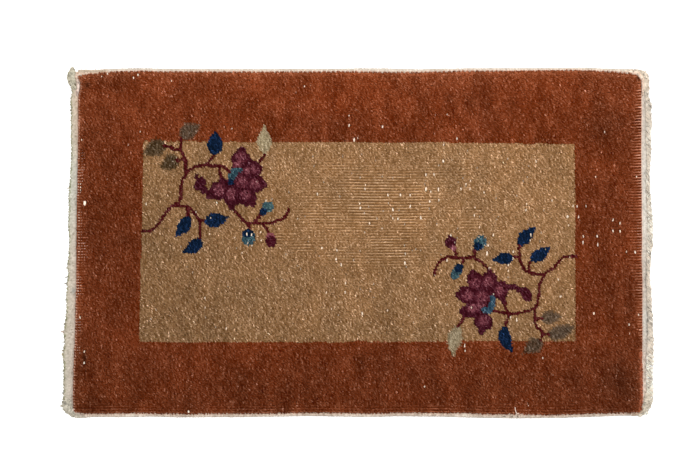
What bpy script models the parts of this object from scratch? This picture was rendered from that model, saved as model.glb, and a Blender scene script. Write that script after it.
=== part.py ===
"""Small hand-knotted wool mat lying flat: one thick knotted cloth, a cotton web at each
short end and a cotton binding wound along each long edge.

Metres, +Z up. X runs along the length (the way the warps run), Y across the width.
The origin is in the middle of the underside, on the surface that the mat lies on."""

import math

import bmesh
import bpy

MM = 0.001

# ---- driving sizes, in millimetres -------------------------------------------------
OVERALL_LENGTH = 1022.0      # over the two end webs
OVERALL_WIDTH = 607.0        # over the two edge bindings, at the corners
PIECE_GAP = 0.35             # between neighbouring pieces
CLOTH_LENGTH = 977.0         # the knotted cloth alone, between the two webs
CLOTH_WIDTH = 588.0

BASE_EDGE_HEIGHT = 4.4       # where the pile's outermost row meets the edge
BORDER_HEIGHT = 9.6          # underside to the tips of the pile, in the border
SHOULDER_WIDTH = 7.0         # the pile's outer rows lean out over this width
WEAR_DEPTH = 2.0             # the middle of the mat is trodden down by this much

BINDING_WIDTH = 5.4
BINDING_HEIGHT = 5.6
WEB_THICKNESS = 2.6
ROLL_HEIGHT = 4.8

CELLS_ALONG = 30             # even cells of the pile's surface
CELLS_ACROSS = 18
EDGE_STEPS = (2.0, 4.5, 8.0, 16.0)   # extra lines close to each edge

# ---- the four sides of the knotted cloth, a little out of true ----------------------
# along: place along the side; at: how far out the side is there
LEFT_SIDE = (   # along = y, at = x
    dict(along=-292.4, at=-490.2), dict(along=-261.0, at=-492.4),
    dict(along=-187.0, at=-490.3), dict(along=-83.0, at=-488.0),
    dict(along=21.0, at=-487.0), dict(along=107.0, at=-485.3),
    dict(along=287.2, at=-484.6),
)
RIGHT_SIDE = (  # along = y, at = x
    dict(along=-292.6, at=491.4), dict(along=-270.0, at=492.4),
    dict(along=-14.0, at=492.2), dict(along=73.0, at=491.2),
    dict(along=159.0, at=491.0), dict(along=274.0, at=488.0),
    dict(along=287.0, at=485.6),
)
TOP_SIDE = (    # along = x, at = y
    dict(along=-484.6, at=287.2), dict(along=-466.0, at=291.6),
    dict(along=-433.0, at=294.2), dict(along=-13.0, at=295.0),
    dict(along=300.0, at=296.4), dict(along=394.0, at=296.9),
    dict(along=437.0, at=294.4), dict(along=472.0, at=291.4),
    dict(along=485.6, at=287.0),
)
BOTTOM_SIDE = ( # along = x, at = y
    dict(along=-490.2, at=-292.4), dict(along=-463.0, at=-298.0),
    dict(along=-272.0, at=-297.4), dict(along=108.0, at=-297.2),
    dict(along=274.0, at=-299.0), dict(along=385.0, at=-296.7),
    dict(along=491.4, at=-292.6),
)

# width of each cotton web beyond the pile, along y
LEFT_WEB = (
    dict(along=-300.5, width=13.0), dict(along=-281.0, width=20.6),
    dict(along=-266.0, width=13.5), dict(along=-220.0, width=13.2),
    dict(along=-195.0, width=19.0), dict(along=-180.0, width=15.5),
    dict(along=-156.0, width=18.5), dict(along=-140.0, width=13.4),
    dict(along=-70.0, width=12.0), dict(along=20.0, width=11.6),
    dict(along=130.0, width=12.6), dict(along=240.0, width=14.4),
    dict(along=290.0, width=17.0), dict(along=302.5, width=10.5),
)
RIGHT_WEB = (
    dict(along=-303.5, width=6.0), dict(along=-292.0, width=17.6),
    dict(along=-200.0, width=18.6), dict(along=-60.0, width=18.8),
    dict(along=60.0, width=18.0), dict(along=160.0, width=17.6),
    dict(along=230.0, width=15.8), dict(along=272.0, width=12.5),
    dict(along=299.0, width=8.0),
)

# trodden places: centre, reach along x and y, share of WEAR_DEPTH
WEAR = (
    dict(x=20.0, y=55.0, reach_x=230.0, reach_y=120.0, share=0.75),
    dict(x=-30.0, y=-60.0, reach_x=300.0, reach_y=150.0, share=0.25),
    dict(x=470.0, y=40.0, reach_x=60.0, reach_y=160.0, share=0.45),
    dict(x=-470.0, y=40.0, reach_x=35.0, reach_y=220.0, share=0.35),
)


def smooth_table(rows, along, column):
    """The named column at a place between the table's rows, with level tangents' blend."""
    if along <= rows[0]["along"]:
        return rows[0][column]
    for low, high in zip(rows, rows[1:]):
        if along <= high["along"]:
            t = (along - low["along"]) / (high["along"] - low["along"])
            t = t * t * (3.0 - 2.0 * t) * 0.5 + t * 0.5
            return low[column] + (high[column] - low[column]) * t
    return rows[-1][column]


def side_point(rows, share, upright):
    """A point on a side of the cloth, share 0 to 1 from its first row to its last."""
    along = rows[0]["along"] + (rows[-1]["along"] - rows[0]["along"]) * share
    at = smooth_table(rows, along, "at")
    return (at, along) if upright else (along, at)


def patch_point(u, v):
    """A point of the cloth's outline patch: u from left to right, v from bottom to top."""
    left, right = side_point(LEFT_SIDE, v, True), side_point(RIGHT_SIDE, v, True)
    low, high = side_point(BOTTOM_SIDE, u, False), side_point(TOP_SIDE, u, False)
    low_left, high_left = side_point(LEFT_SIDE, 0, True), side_point(LEFT_SIDE, 1, True)
    low_right, high_right = side_point(BOTTOM_SIDE, 1, False), side_point(TOP_SIDE, 1, False)
    out = []
    for k in (0, 1):
        ruled_u = (1 - u) * left[k] + u * right[k]
        ruled_v = (1 - v) * low[k] + v * high[k]
        corners = ((1 - u) * (1 - v) * low_left[k] + u * (1 - v) * low_right[k]
                   + (1 - u) * v * high_left[k] + u * v * high_right[k])
        out.append(ruled_u + ruled_v - corners)
    return out


def stations(length, cells):
    """Shares 0 to 1 along a side: even cells, with closer lines near both edges."""
    near = [0.0] + [step / length for step in EDGE_STEPS]
    middle = [near[-1] + (1.0 - 2.0 * near[-1]) * i / cells for i in range(1, cells)]
    return near + middle + [1.0 - s for s in reversed(near)]


def cloth_line(rows, length, cells, upright):
    """The cloth's side as it is modelled: straight runs between the surface's lines."""
    line = []
    for share in stations(length, cells):
        x, y = side_point(rows, share, upright)
        line.append(dict(along=y if upright else x, at=x if upright else y))
    return line


def on_line(line, along):
    """How far out the straight runs are at a place; level past both ends."""
    for low, high in zip(line, line[1:]):
        if low["along"] <= along <= high["along"]:
            t = (along - low["along"]) / (high["along"] - low["along"])
            return low["at"] + (high["at"] - low["at"]) * t
    return line[0]["at"] if along < line[0]["along"] else line[-1]["at"]


def with_extra(line, most):
    """Places along the runs, every corner kept and long runs split."""
    places = []
    for low, high in zip(line, line[1:]):
        parts = max(1, math.ceil((high["along"] - low["along"]) / most))
        places += [low["along"] + (high["along"] - low["along"]) * i / parts for i in range(parts)]
    return places + [line[-1]["along"]]


def shoulder(distance):
    """0 at the edge of the pile, rising round to 1 past the shoulder."""
    t = min(max(distance / SHOULDER_WIDTH, 0.0), 1.0)
    return math.sqrt(max(1.0 - (1.0 - t) ** 2, 0.0))


def pile_height(x, y):
    worn = sum(spot["share"] * math.exp(-((x - spot["x"]) / spot["reach_x"]) ** 2
                                        - ((y - spot["y"]) / spot["reach_y"]) ** 2)
               for spot in WEAR)
    lumps = 0.22 * math.sin(x / 61.0 + 1.3) * math.sin(y / 47.0) + 0.12 * math.sin(x / 23.0 + y / 31.0)
    return BORDER_HEIGHT - WEAR_DEPTH * worn + lumps


def material(name, colour, roughness):
    made = bpy.data.materials.new(name)
    made.use_nodes = True
    shader = made.node_tree.nodes["Principled BSDF"]
    shader.inputs["Base Color"].default_value = (*colour, 1.0)
    shader.inputs["Roughness"].default_value = roughness
    shader.inputs["Metallic"].default_value = 0.0
    made.diffuse_color = (*colour, 1.0)
    return made


def add_object(name, mesh_data, made_of, smooth_angle=None):
    mesh = bpy.data.meshes.new(name)
    bmesh.ops.recalc_face_normals(mesh_data, faces=mesh_data.faces)
    mesh_data.to_mesh(mesh)
    mesh_data.free()
    mesh.materials.append(made_of)
    if smooth_angle is not None:
        mesh.shade_smooth()
        mesh.set_sharp_from_angle(angle=math.radians(smooth_angle))
    placed = bpy.data.objects.new(name, mesh)
    bpy.context.scene.collection.objects.link(placed)
    return placed


def knotted_cloth():
    """The knotted cloth with its pile: flat underneath, softly uneven on top."""
    us = stations(CLOTH_LENGTH, CELLS_ALONG)
    vs = stations(CLOTH_WIDTH, CELLS_ACROSS)
    shape = bmesh.new()
    top, under = [], []
    for u in us:
        top_line, under_line = [], []
        for v in vs:
            x, y = patch_point(u, v)
            from_ends = min(u, 1.0 - u) * CLOTH_LENGTH
            from_sides = min(v, 1.0 - v) * CLOTH_WIDTH
            rise = shoulder(from_ends) * shoulder(from_sides)
            z = BASE_EDGE_HEIGHT + (pile_height(x, y) - BASE_EDGE_HEIGHT) * rise
            top_line.append(shape.verts.new((x * MM, y * MM, z * MM)))
            under_line.append(shape.verts.new((x * MM, y * MM, 0.0)))
        top.append(top_line)
        under.append(under_line)
    last_u, last_v = len(us) - 1, len(vs) - 1
    for i in range(last_u):
        for j in range(last_v):
            shape.faces.new((top[i][j], top[i + 1][j], top[i + 1][j + 1], top[i][j + 1]))
            shape.faces.new((under[i][j], under[i][j + 1], under[i + 1][j + 1], under[i + 1][j]))
    rim = ([(i, 0) for i in range(last_u)] + [(last_u, j) for j in range(last_v)]
           + [(i, last_v) for i in range(last_u, 0, -1)] + [(0, j) for j in range(last_v, 0, -1)])
    for (i, j), (k, m) in zip(rim, rim[1:] + rim[:1]):
        shape.faces.new((under[i][j], under[k][m], top[k][m], top[i][j]))
    return shape


def loft(sections):
    """A closed solid through rings of points, its two ends filled."""
    shape = bmesh.new()
    rings = [[shape.verts.new((x * MM, y * MM, z * MM)) for x, y, z in ring] for ring in sections]
    count = len(rings[0])
    for near, far in zip(rings, rings[1:]):
        for k in range(count):
            n = (k + 1) % count
            shape.faces.new((near[k], near[n], far[n], far[k]))
    shape.faces.new(list(reversed(rings[0])))
    shape.faces.new(rings[-1])
    return shape


# a binding's section: share of its width from the pile outwards, share of its height
BINDING_SECTION = (
    dict(out=0.0, up=0.0), dict(out=0.0, up=0.55), dict(out=0.22, up=0.92),
    dict(out=0.5, up=1.0), dict(out=0.80, up=0.80), dict(out=1.0, up=0.42),
    dict(out=0.92, up=0.0),
)


def binding(rows, outward):
    """Cotton yarn wound along a long edge; outward is +1 at the top, -1 at the bottom."""
    line = cloth_line(rows, CLOTH_LENGTH, CELLS_ALONG, False)
    places = with_extra(line, 24.0)
    places[0] += 0.2
    places[-1] -= 0.2
    sections = []
    for i, x in enumerate(places):
        inner = on_line(line, x) + outward * PIECE_GAP
        swell = 1.0 + 0.07 * math.sin(x / 13.0) + 0.05 * math.sin(x / 5.3 + 1.0)
        if i in (0, len(places) - 1):
            swell *= 0.8
        sections.append([(x, inner + outward * row["out"] * BINDING_WIDTH * swell,
                          row["up"] * BINDING_HEIGHT * (0.9 + 0.1 * swell))
                         for row in BINDING_SECTION])
    return loft(sections)


# a web's section: share of its width from the pile outwards, height in millimetres
FLAT_WEB_SECTION = (
    dict(out=0.0, up=0.0), dict(out=0.0, up=WEB_THICKNESS), dict(out=0.35, up=WEB_THICKNESS * 0.92),
    dict(out=0.55, up=WEB_THICKNESS * 1.25), dict(out=0.80, up=WEB_THICKNESS * 1.35),
    dict(out=1.0, up=WEB_THICKNESS * 0.6), dict(out=0.97, up=0.0),
)
ROLLED_WEB_SECTION = (
    dict(out=0.0, up=0.0), dict(out=0.0, up=WEB_THICKNESS), dict(out=0.34, up=WEB_THICKNESS * 0.9),
    dict(out=0.44, up=WEB_THICKNESS * 0.85), dict(out=0.54, up=ROLL_HEIGHT * 0.85),
    dict(out=0.72, up=ROLL_HEIGHT), dict(out=0.90, up=ROLL_HEIGHT * 0.8),
    dict(out=1.0, up=ROLL_HEIGHT * 0.4), dict(out=0.96, up=0.0),
)


def end_web(side, rows, section, outward, ripple):
    """The cotton web past the last knots; outward is -1 at the left, +1 at the right."""
    line = cloth_line(side, CLOTH_WIDTH, CELLS_ACROSS, True)
    below, above = rows[0]["along"], rows[-1]["along"]
    places = ([below, (below + line[0]["along"]) / 2.0] + with_extra(line, 9.0)
              + [(line[-1]["along"] + above) / 2.0, above])
    sections = []
    for y in places:
        inner = on_line(line, y) + outward * PIECE_GAP
        width = smooth_table(rows, y, "width")
        width += ripple * (math.sin(y / 4.1) + 0.7 * math.sin(y / 9.7 + 2.0))
        sections.append([(inner + outward * row["out"] * width, y, row["up"]) for row in section])
    return loft(sections)


def fit_to_overall(objects):
    """Brings the whole to its overall length and width, centred over the origin."""
    points = [v.co for ob in objects for v in ob.data.vertices]
    low = [min(p[k] for p in points) for k in (0, 1)]
    high = [max(p[k] for p in points) for k in (0, 1)]
    scale = [OVERALL_LENGTH * MM / (high[0] - low[0]), OVERALL_WIDTH * MM / (high[1] - low[1])]
    for point in points:
        for k in (0, 1):
            point[k] = (point[k] - (low[k] + high[k]) / 2.0) * scale[k]


def main():
    for old in list(bpy.data.objects):
        bpy.data.objects.remove(old, do_unlink=True)
    wool = material("wool_pile", (0.19, 0.045, 0.018), 0.95)
    left_cotton = material("end_web_cotton_left", (0.66, 0.62, 0.53), 0.92)
    right_cotton = material("end_web_cotton_right", (0.66, 0.62, 0.53), 0.92)
    top_cotton = material("binding_cotton_top", (0.62, 0.57, 0.48), 0.92)
    low_cotton = material("binding_cotton_bottom", (0.62, 0.57, 0.48), 0.92)

    objects = [
        add_object("knotted_rug", knotted_cloth(), wool, 40.0),
        add_object("end_web_left", end_web(LEFT_SIDE, LEFT_WEB, FLAT_WEB_SECTION, -1.0, 0.55),
                   left_cotton, 50.0),
        add_object("end_web_right", end_web(RIGHT_SIDE, RIGHT_WEB, ROLLED_WEB_SECTION, 1.0, 0.3),
                   right_cotton, 50.0),
        add_object("edge_binding_top", binding(TOP_SIDE, 1.0), top_cotton, 50.0),
        add_object("edge_binding_bottom", binding(BOTTOM_SIDE, -1.0), low_cotton, 50.0),
    ]
    fit_to_overall(objects)


main()
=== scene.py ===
"""Small hand-knotted wool mat, lying flat and seen from straight above.

The knotted cloth is laid out knot by knot: every knot gets its dye from the drawn
design, and its two cut ends stand as wool tufts over the cloth. Cotton webs, wound
bindings, knotted-off warp ends and loose threads are modelled round it."""

import math

import bpy
import numpy as np
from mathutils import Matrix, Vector


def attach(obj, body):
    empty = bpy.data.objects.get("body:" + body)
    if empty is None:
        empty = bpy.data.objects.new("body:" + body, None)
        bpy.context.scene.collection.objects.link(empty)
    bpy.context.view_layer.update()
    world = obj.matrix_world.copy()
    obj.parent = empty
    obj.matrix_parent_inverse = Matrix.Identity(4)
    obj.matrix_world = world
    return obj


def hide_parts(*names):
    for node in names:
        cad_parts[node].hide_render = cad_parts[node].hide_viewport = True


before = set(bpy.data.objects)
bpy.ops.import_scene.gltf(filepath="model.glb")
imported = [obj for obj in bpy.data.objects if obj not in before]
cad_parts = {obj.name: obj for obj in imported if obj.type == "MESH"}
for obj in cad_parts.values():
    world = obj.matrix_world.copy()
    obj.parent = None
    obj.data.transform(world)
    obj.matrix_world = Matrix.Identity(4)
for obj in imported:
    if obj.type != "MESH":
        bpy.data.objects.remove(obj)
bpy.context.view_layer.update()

MM = 0.001

# ------------------------------------------------------------------ sizes
RIBS = 121                   # knots across the width, one on each pair of warps
ROWS = 390                   # rows of knots along the length
BANDS = 5                    # the pile is made in this many strips, each one mesh
PIXEL = 1.7276               # millimetres at the pile's top for a pixel of the view
VIEW_PX = (350.0, 233.0)     # the middle of the view
VIEW_MM = (-13.40, 16.81)    # the point it looks at
DISTANCE = 700.0 * PIXEL * 70.0 / 36.0
TOP_LEVEL = 9.0              # the level, in millimetres, that the view's scale is set for

BORDER_HEIGHT = 9.6
EDGE_HEIGHT = 4.4
SHOULDER = 7.0
WEAR_DEPTH = 2.0
TUFT_DEPTH = 2.9             # how far down a tuft shows


def at_px(px, py, z=TOP_LEVEL):
    """The point, in millimetres, that a pixel of the view shows at a level."""
    f = PIXEL * (DISTANCE + TOP_LEVEL - z) / DISTANCE
    return (VIEW_MM[0] + (np.asarray(px, float) - VIEW_PX[0]) * f,
            VIEW_MM[1] - (np.asarray(py, float) - VIEW_PX[1]) * f)


def view_px(x, y):
    """The view's pixel over a point at the pile's top."""
    return ((np.asarray(x, float) - VIEW_MM[0]) / PIXEL + VIEW_PX[0],
            VIEW_PX[1] - (np.asarray(y, float) - VIEW_MM[1]) / PIXEL)


# ------------------------------------------------------------------ outline, in pixels of the view
LEFT_SIDE = ((77.4, 72.9), (77.3, 77.0), (78.6, 79.6), (79.7, 82.6), (79.9, 87.0), (79.2, 91.6), (78.0, 96.6),
             (77.8, 100.0), (77.8, 140.0), (77.5, 152.0),
             (77.0, 188.0), (76.4, 204.0), (76.0, 262.0), (75.9, 290.0), (75.2, 302.0), (74.9, 326.0),
             (74.2, 346.0), (73.4, 358.0), (72.9, 380.0), (72.6, 402.0), (73.3, 414.4))
RIGHT_SIDE = ((640.8, 72.0), (641.6, 84.0), (641.8, 120.0), (641.5, 150.0), (642.0, 200.0),
              (642.2, 240.0), (641.9, 256.0), (642.8, 288.0), (642.6, 304.0), (642.7, 340.0),
              (642.5, 360.0), (643.0, 372.0), (643.1, 396.0), (642.2, 413.6))
TOP_SIDE = ((77.4, 72.9), (81.0, 73.2), (93.0, 72.8), (105.0, 71.6), (118.0, 70.6), (141.0, 70.2),
            (165.0, 70.8), (249.0, 71.1), (345.0, 70.8), (405.0, 71.6), (441.0, 70.8), (465.0, 70.1),
            (513.0, 70.1), (549.0, 69.5), (573.0, 69.3), (597.0, 70.1), (617.0, 71.2), (627.0, 72.1),
            (633.0, 72.7), (640.8, 72.0))
BOTTOM_SIDE = ((73.3, 414.4), (81.0, 414.4), (93.0, 414.6), (117.0, 414.3), (141.0, 414.0),
               (189.0, 415.0), (213.0, 414.3), (261.0, 414.6), (309.0, 413.7), (345.0, 413.9),
               (369.0, 414.5), (405.0, 413.6), (465.0, 414.1), (489.0, 415.1), (513.0, 415.0),
               (549.0, 415.8), (573.0, 415.5), (597.0, 414.2), (621.0, 413.9), (636.0, 413.4),
               (642.2, 413.6))
# the pile's corners are cut off along these lines: two points, the outside on their left
CUTS = (((75.0, 77.4), (92.0, 72.6)), ((625.0, 71.9), (641.0, 75.6)), ((634.8, 73.2), (643.0, 81.6)),
        ((85.0, 415.4), (71.5, 410.6)), ((644.2, 409.4), (632.0, 414.8)))
LEFT_OUTER = ((68.3, 70.0), (66.9, 78.0), (70.4, 86.0), (71.6, 91.0), (70.2, 101.0), (70.7, 112.0),
              (70.8, 150.0), (70.7, 164.0), (69.9, 178.0), (69.0, 188.0), (68.2, 198.0), (68.5, 210.0),
              (67.9, 224.0), (69.2, 241.0), (68.2, 256.0), (67.0, 268.0), (68.2, 273.0), (66.6, 284.0),
              (66.1, 296.0), (66.3, 308.0), (65.3, 318.0), (64.2, 325.0), (63.4, 334.0), (64.4, 342.0),
              (62.8, 350.0), (62.6, 357.0), (63.3, 366.0), (63.2, 380.0), (63.2, 394.0), (62.4, 401.0),
              (61.6, 406.0), (62.8, 410.0), (66.0, 413.6), (70.4, 416.2))
RIGHT_OUTER = ((646.6, 73.0), (648.4, 78.0), (648.4, 86.0), (649.5, 96.0), (651.9, 106.0),
               (651.6, 118.0), (652.1, 126.0), (651.3, 132.0), (651.9, 142.0), (651.6, 154.0),
               (650.5, 164.0), (649.8, 175.0), (650.4, 188.0), (651.4, 200.0), (652.2, 211.0),
               (653.4, 217.0), (653.5, 232.0), (652.8, 245.0), (651.6, 256.0), (650.6, 268.0),
               (650.4, 278.0), (651.6, 288.0), (651.7, 298.0), (652.8, 312.0), (653.2, 330.0),
               (653.8, 339.0), (653.6, 352.0), (654.2, 360.0), (653.0, 371.0), (653.5, 384.0),
               (654.4, 394.0), (652.8, 402.0), (651.2, 406.0), (648.5, 410.0))
TOP_OUTER = ((74.0, 69.0), (81.0, 69.5), (93.0, 69.6), (105.0, 69.1), (117.0, 68.5), (141.0, 68.0),
             (165.0, 68.6), (249.0, 68.8), (333.0, 68.7), (357.0, 68.1), (381.0, 68.1), (405.0, 68.7),
             (420.0, 69.1), (441.0, 68.4), (477.0, 67.9), (561.0, 67.7), (585.0, 67.3), (603.0, 68.3),
             (621.0, 68.7), (640.0, 69.4))
BOTTOM_OUTER = ((72.0, 416.8), (81.0, 418.2), (93.0, 417.2), (129.0, 417.3), (153.0, 416.8),
                (177.0, 417.5), (237.0, 417.3), (285.0, 416.7), (309.0, 416.2), (345.0, 416.8),
                (369.0, 417.1), (399.0, 416.4), (441.0, 416.8), (477.0, 417.9), (513.0, 418.4),
                (561.0, 418.0), (585.0, 417.3), (609.0, 416.4), (621.0, 415.8), (640.0, 415.8))
WEAR = (  # centre x, y, reach x, y, share of the wear depth
    (20.0, 55.0, 230.0, 120.0, 0.75), (-30.0, -60.0, 300.0, 150.0, 0.25),
    (470.0, 40.0, 60.0, 160.0, 0.45), (-470.0, 40.0, 35.0, 220.0, 0.35),
)


def side(rows, upright, level):
    """A side's rows of view pixels as dense millimetre places: along (rising), at."""
    x, y = at_px(*np.array(rows, float).T, level)
    along, at = (y, x) if upright else (x, y)
    order = np.argsort(along)
    along, at = along[order], at[order]
    out_along, out_at = [], []
    for a0, a1, v0, v1 in zip(along, along[1:], at, at[1:]):
        t = np.linspace(0.0, 1.0, 25)[:-1]
        blend = t * t * (3.0 - 2.0 * t) * 0.5 + t * 0.5
        out_along += list(a0 + (a1 - a0) * t)
        out_at += list(v0 + (v1 - v0) * blend)
    return np.array(out_along + [along[-1]]), np.array(out_at + [at[-1]])


LEFT, RIGHT = side(LEFT_SIDE, True, 6.0), side(RIGHT_SIDE, True, 6.0)
TOP, BOTTOM = side(TOP_SIDE, False, 6.0), side(BOTTOM_SIDE, False, 6.0)
TOP, BOTTOM = (TOP[0], TOP[1] - 0.9), (BOTTOM[0], BOTTOM[1] + 0.7)


# the turns of the winding along the top, a little closer together to the right, in pixels apart
TURN_AT = np.arange(66.0, 656.0)
TURNS = np.cumsum(1.0 / np.interp(TURN_AT, (80, 150, 250, 400, 500, 640), (5.1, 5.0, 4.76, 4.60, 4.75, 4.45)))


def on_side(table, share):
    """(along, at) on a side for shares 0 to 1."""
    along = table[0][0] + (table[0][-1] - table[0][0]) * np.asarray(share)
    return along, np.interp(along, *table)


def patch(u, v):
    """Points of the cloth in millimetres, for shares along and across it."""
    u, v = np.asarray(u, float), np.asarray(v, float)
    ly, lx = on_side(LEFT, v)
    ry, rx = on_side(RIGHT, v)
    bx, by = on_side(BOTTOM, u)
    tx, ty = on_side(TOP, u)
    c = [[LEFT[1][0], LEFT[0][0]], [RIGHT[1][0], RIGHT[0][0]],
         [LEFT[1][-1], LEFT[0][-1]], [RIGHT[1][-1], RIGHT[0][-1]]]
    out = []
    for k, (le, ri, lo, hi) in enumerate(((lx, rx, bx, tx), (ly, ry, by, ty))):
        out.append((1 - u) * le + u * ri + (1 - v) * lo + v * hi
                   - ((1 - u) * (1 - v) * c[0][k] + u * (1 - v) * c[1][k]
                      + (1 - u) * v * c[2][k] + u * v * c[3][k]))
    return out[0], out[1]


def past_cut(px, py):
    """How far a place lies past the nearest of the lines that cut the corners, in pixels."""
    far = np.full(np.shape(px), -99.0)
    for (ax, ay), (bx, by) in CUTS:
        length = math.hypot(bx - ax, by - ay)
        gone = ((px - ax) * (by - ay) - (py - ay) * (bx - ax)) / length
        near = np.hypot(px - (ax + bx) / 2, py - (ay + by) / 2) < 12.0
        far = np.where(near, np.maximum(far, gone), far)
    return far


# ------------------------------------------------------------------ small helpers
def smoothstep(a, b, x):
    t = np.clip((np.asarray(x, float) - a) / (b - a), 0.0, 1.0)
    return t * t * (3.0 - 2.0 * t)


def value_noise(x, y, cell_x, cell_y, seed):
    """Smooth noise, -1 to 1, on a lattice of the given cell sizes."""
    rng = np.random.default_rng(seed)
    grid = rng.uniform(-1.0, 1.0, (257, 257))
    gx, gy = np.asarray(x, float) / cell_x + 37.0, np.asarray(y, float) / cell_y + 91.0
    ix, iy = np.floor(gx).astype(int), np.floor(gy).astype(int)
    fx, fy = gx - ix, gy - iy
    fx, fy = fx * fx * (3 - 2 * fx), fy * fy * (3 - 2 * fy)
    a = grid[ix % 257, iy % 257] * (1 - fx) + grid[(ix + 1) % 257, iy % 257] * fx
    b = grid[ix % 257, (iy + 1) % 257] * (1 - fx) + grid[(ix + 1) % 257, (iy + 1) % 257] * fx
    return a * (1 - fy) + b * fy


def clouds(x, y, cell, seed, octaves=3, stretch=1.0):
    total, weight = 0.0, 0.0
    for k in range(octaves):
        w = 0.55 ** k
        total = total + w * value_noise(x, y, cell / 2 ** k, cell * stretch / 2 ** k, seed + k)
        weight += w
    return total / weight


def turn_phase(px):
    """Which turn of the top winding a place is at: whole numbers in the middle of a clump of pile."""
    px = np.asarray(px, float)
    return np.interp(px, TURN_AT, TURNS) + 0.13 * value_noise(px, px * 0, 13.0, 1, 545)


def turn_depth(px):
    """How plainly the turns show along the top, 0 to 1."""
    return np.interp(px, (100, 140, 200, 330, 480, 510, 590, 606, 636), (0.35, 0.75, 0.85, 1.0, 0.9, 0.5, 0.55, 1.0, 1.0))


def linear(srgb):
    c = np.clip(np.asarray(srgb, float) / 255.0, 0.0, 1.0)
    return np.where(c <= 0.04045, c / 12.92, ((c + 0.055) / 1.055) ** 2.4)


def new_mesh(name, verts, faces_by_size, material, colours=None, uvs=None, smooth=True):
    """A mesh object from arrays. verts in millimetres; faces_by_size is a list of index
    arrays, one for each number of corners."""
    me = bpy.data.meshes.new(name)
    verts = np.asarray(verts, np.float32).reshape(-1, 3) * MM
    me.vertices.add(len(verts))
    me.vertices.foreach_set("co", verts.ravel())
    loops = np.concatenate([np.asarray(f).ravel() for f in faces_by_size]).astype(np.int32)
    sizes = np.concatenate([np.full(len(f), np.asarray(f).shape[1]) for f in faces_by_size])
    starts = np.concatenate([[0], np.cumsum(sizes)[:-1]]).astype(np.int32)
    me.loops.add(len(loops))
    me.loops.foreach_set("vertex_index", loops)
    me.polygons.add(len(sizes))
    me.polygons.foreach_set("loop_start", starts)
    me.polygons.foreach_set("use_smooth", np.full(len(sizes), smooth))
    me.update(calc_edges=True)
    if colours is not None:
        for key, data in colours.items():
            data = np.asarray(data, np.float32)
            if data.ndim == 1:
                layer = me.attributes.new(key, "FLOAT", "POINT")
                layer.data.foreach_set("value", data)
            else:
                layer = me.attributes.new(key, "FLOAT_COLOR", "POINT")
                full = np.ones((len(data), 4), np.float32)
                full[:, :3] = data
                layer.data.foreach_set("color", full.ravel())
    if uvs is not None:
        layer = me.uv_layers.new(name="OFBake")
        layer.data.foreach_set("uv", np.asarray(uvs, np.float32)[loops].ravel())
    me.materials.append(material)
    me.validate(clean_customdata=False)
    ob = bpy.data.objects.new(name, me)
    bpy.context.scene.collection.objects.link(ob)
    return ob


# ------------------------------------------------------------------ materials
def node(tree, kind, **values):
    n = tree.nodes.new(kind)
    for key, value in values.items():
        setattr(n, key, value)
    return n


def wool_material(name, depth):
    """Matt wool: dye from the knots, with painted shade (darker tuft feet, darker cloth top) carried in the same
    attribute, fine streaks of fibre lying down to the right.
    """
    m = bpy.data.materials.new(name)
    m.use_nodes = True
    t = m.node_tree
    s = t.nodes["Principled BSDF"]
    s.inputs["Roughness"].default_value = 0.95
    s.inputs["Specular IOR Level"].default_value = 0.06
    dye = node(t, "ShaderNodeAttribute", attribute_name="dye")
    where = node(t, "ShaderNodeTexCoord")
    turn = node(t, "ShaderNodeMapping")
    turn.inputs["Rotation"].default_value = (0.0, 0.0, math.radians(45.0))
    t.links.new(where.outputs["Object"], turn.inputs["Vector"])
    stretch = node(t, "ShaderNodeMapping")
    stretch.inputs["Scale"].default_value = (260.0, 1100.0, 500.0)
    t.links.new(turn.outputs[0], stretch.inputs["Vector"])
    fibre = node(t, "ShaderNodeTexNoise")
    fibre.inputs["Scale"].default_value = 1.0
    fibre.inputs["Detail"].default_value = 3.0
    fibre.inputs["Roughness"].default_value = 0.62
    t.links.new(stretch.outputs[0], fibre.inputs["Vector"])
    ramp = node(t, "ShaderNodeMapRange")
    ramp.inputs["From Min"].default_value = 0.3
    ramp.inputs["From Max"].default_value = 0.7
    ramp.inputs["To Min"].default_value = 1.0 - depth
    ramp.inputs["To Max"].default_value = 1.0 + depth
    t.links.new(fibre.outputs["Fac"], ramp.inputs["Value"])
    shade = node(t, "ShaderNodeVectorMath", operation="SCALE")
    t.links.new(dye.outputs["Color"], shade.inputs[0])
    t.links.new(ramp.outputs["Result"], shade.inputs["Scale"])
    t.links.new(shade.outputs[0], s.inputs["Base Color"])
    bump = node(t, "ShaderNodeBump")
    bump.inputs["Strength"].default_value = 0.55
    bump.inputs["Distance"].default_value = 0.0006
    t.links.new(fibre.outputs["Fac"], bump.inputs["Height"])
    t.links.new(bump.outputs[0], s.inputs["Normal"])
    return m


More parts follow.
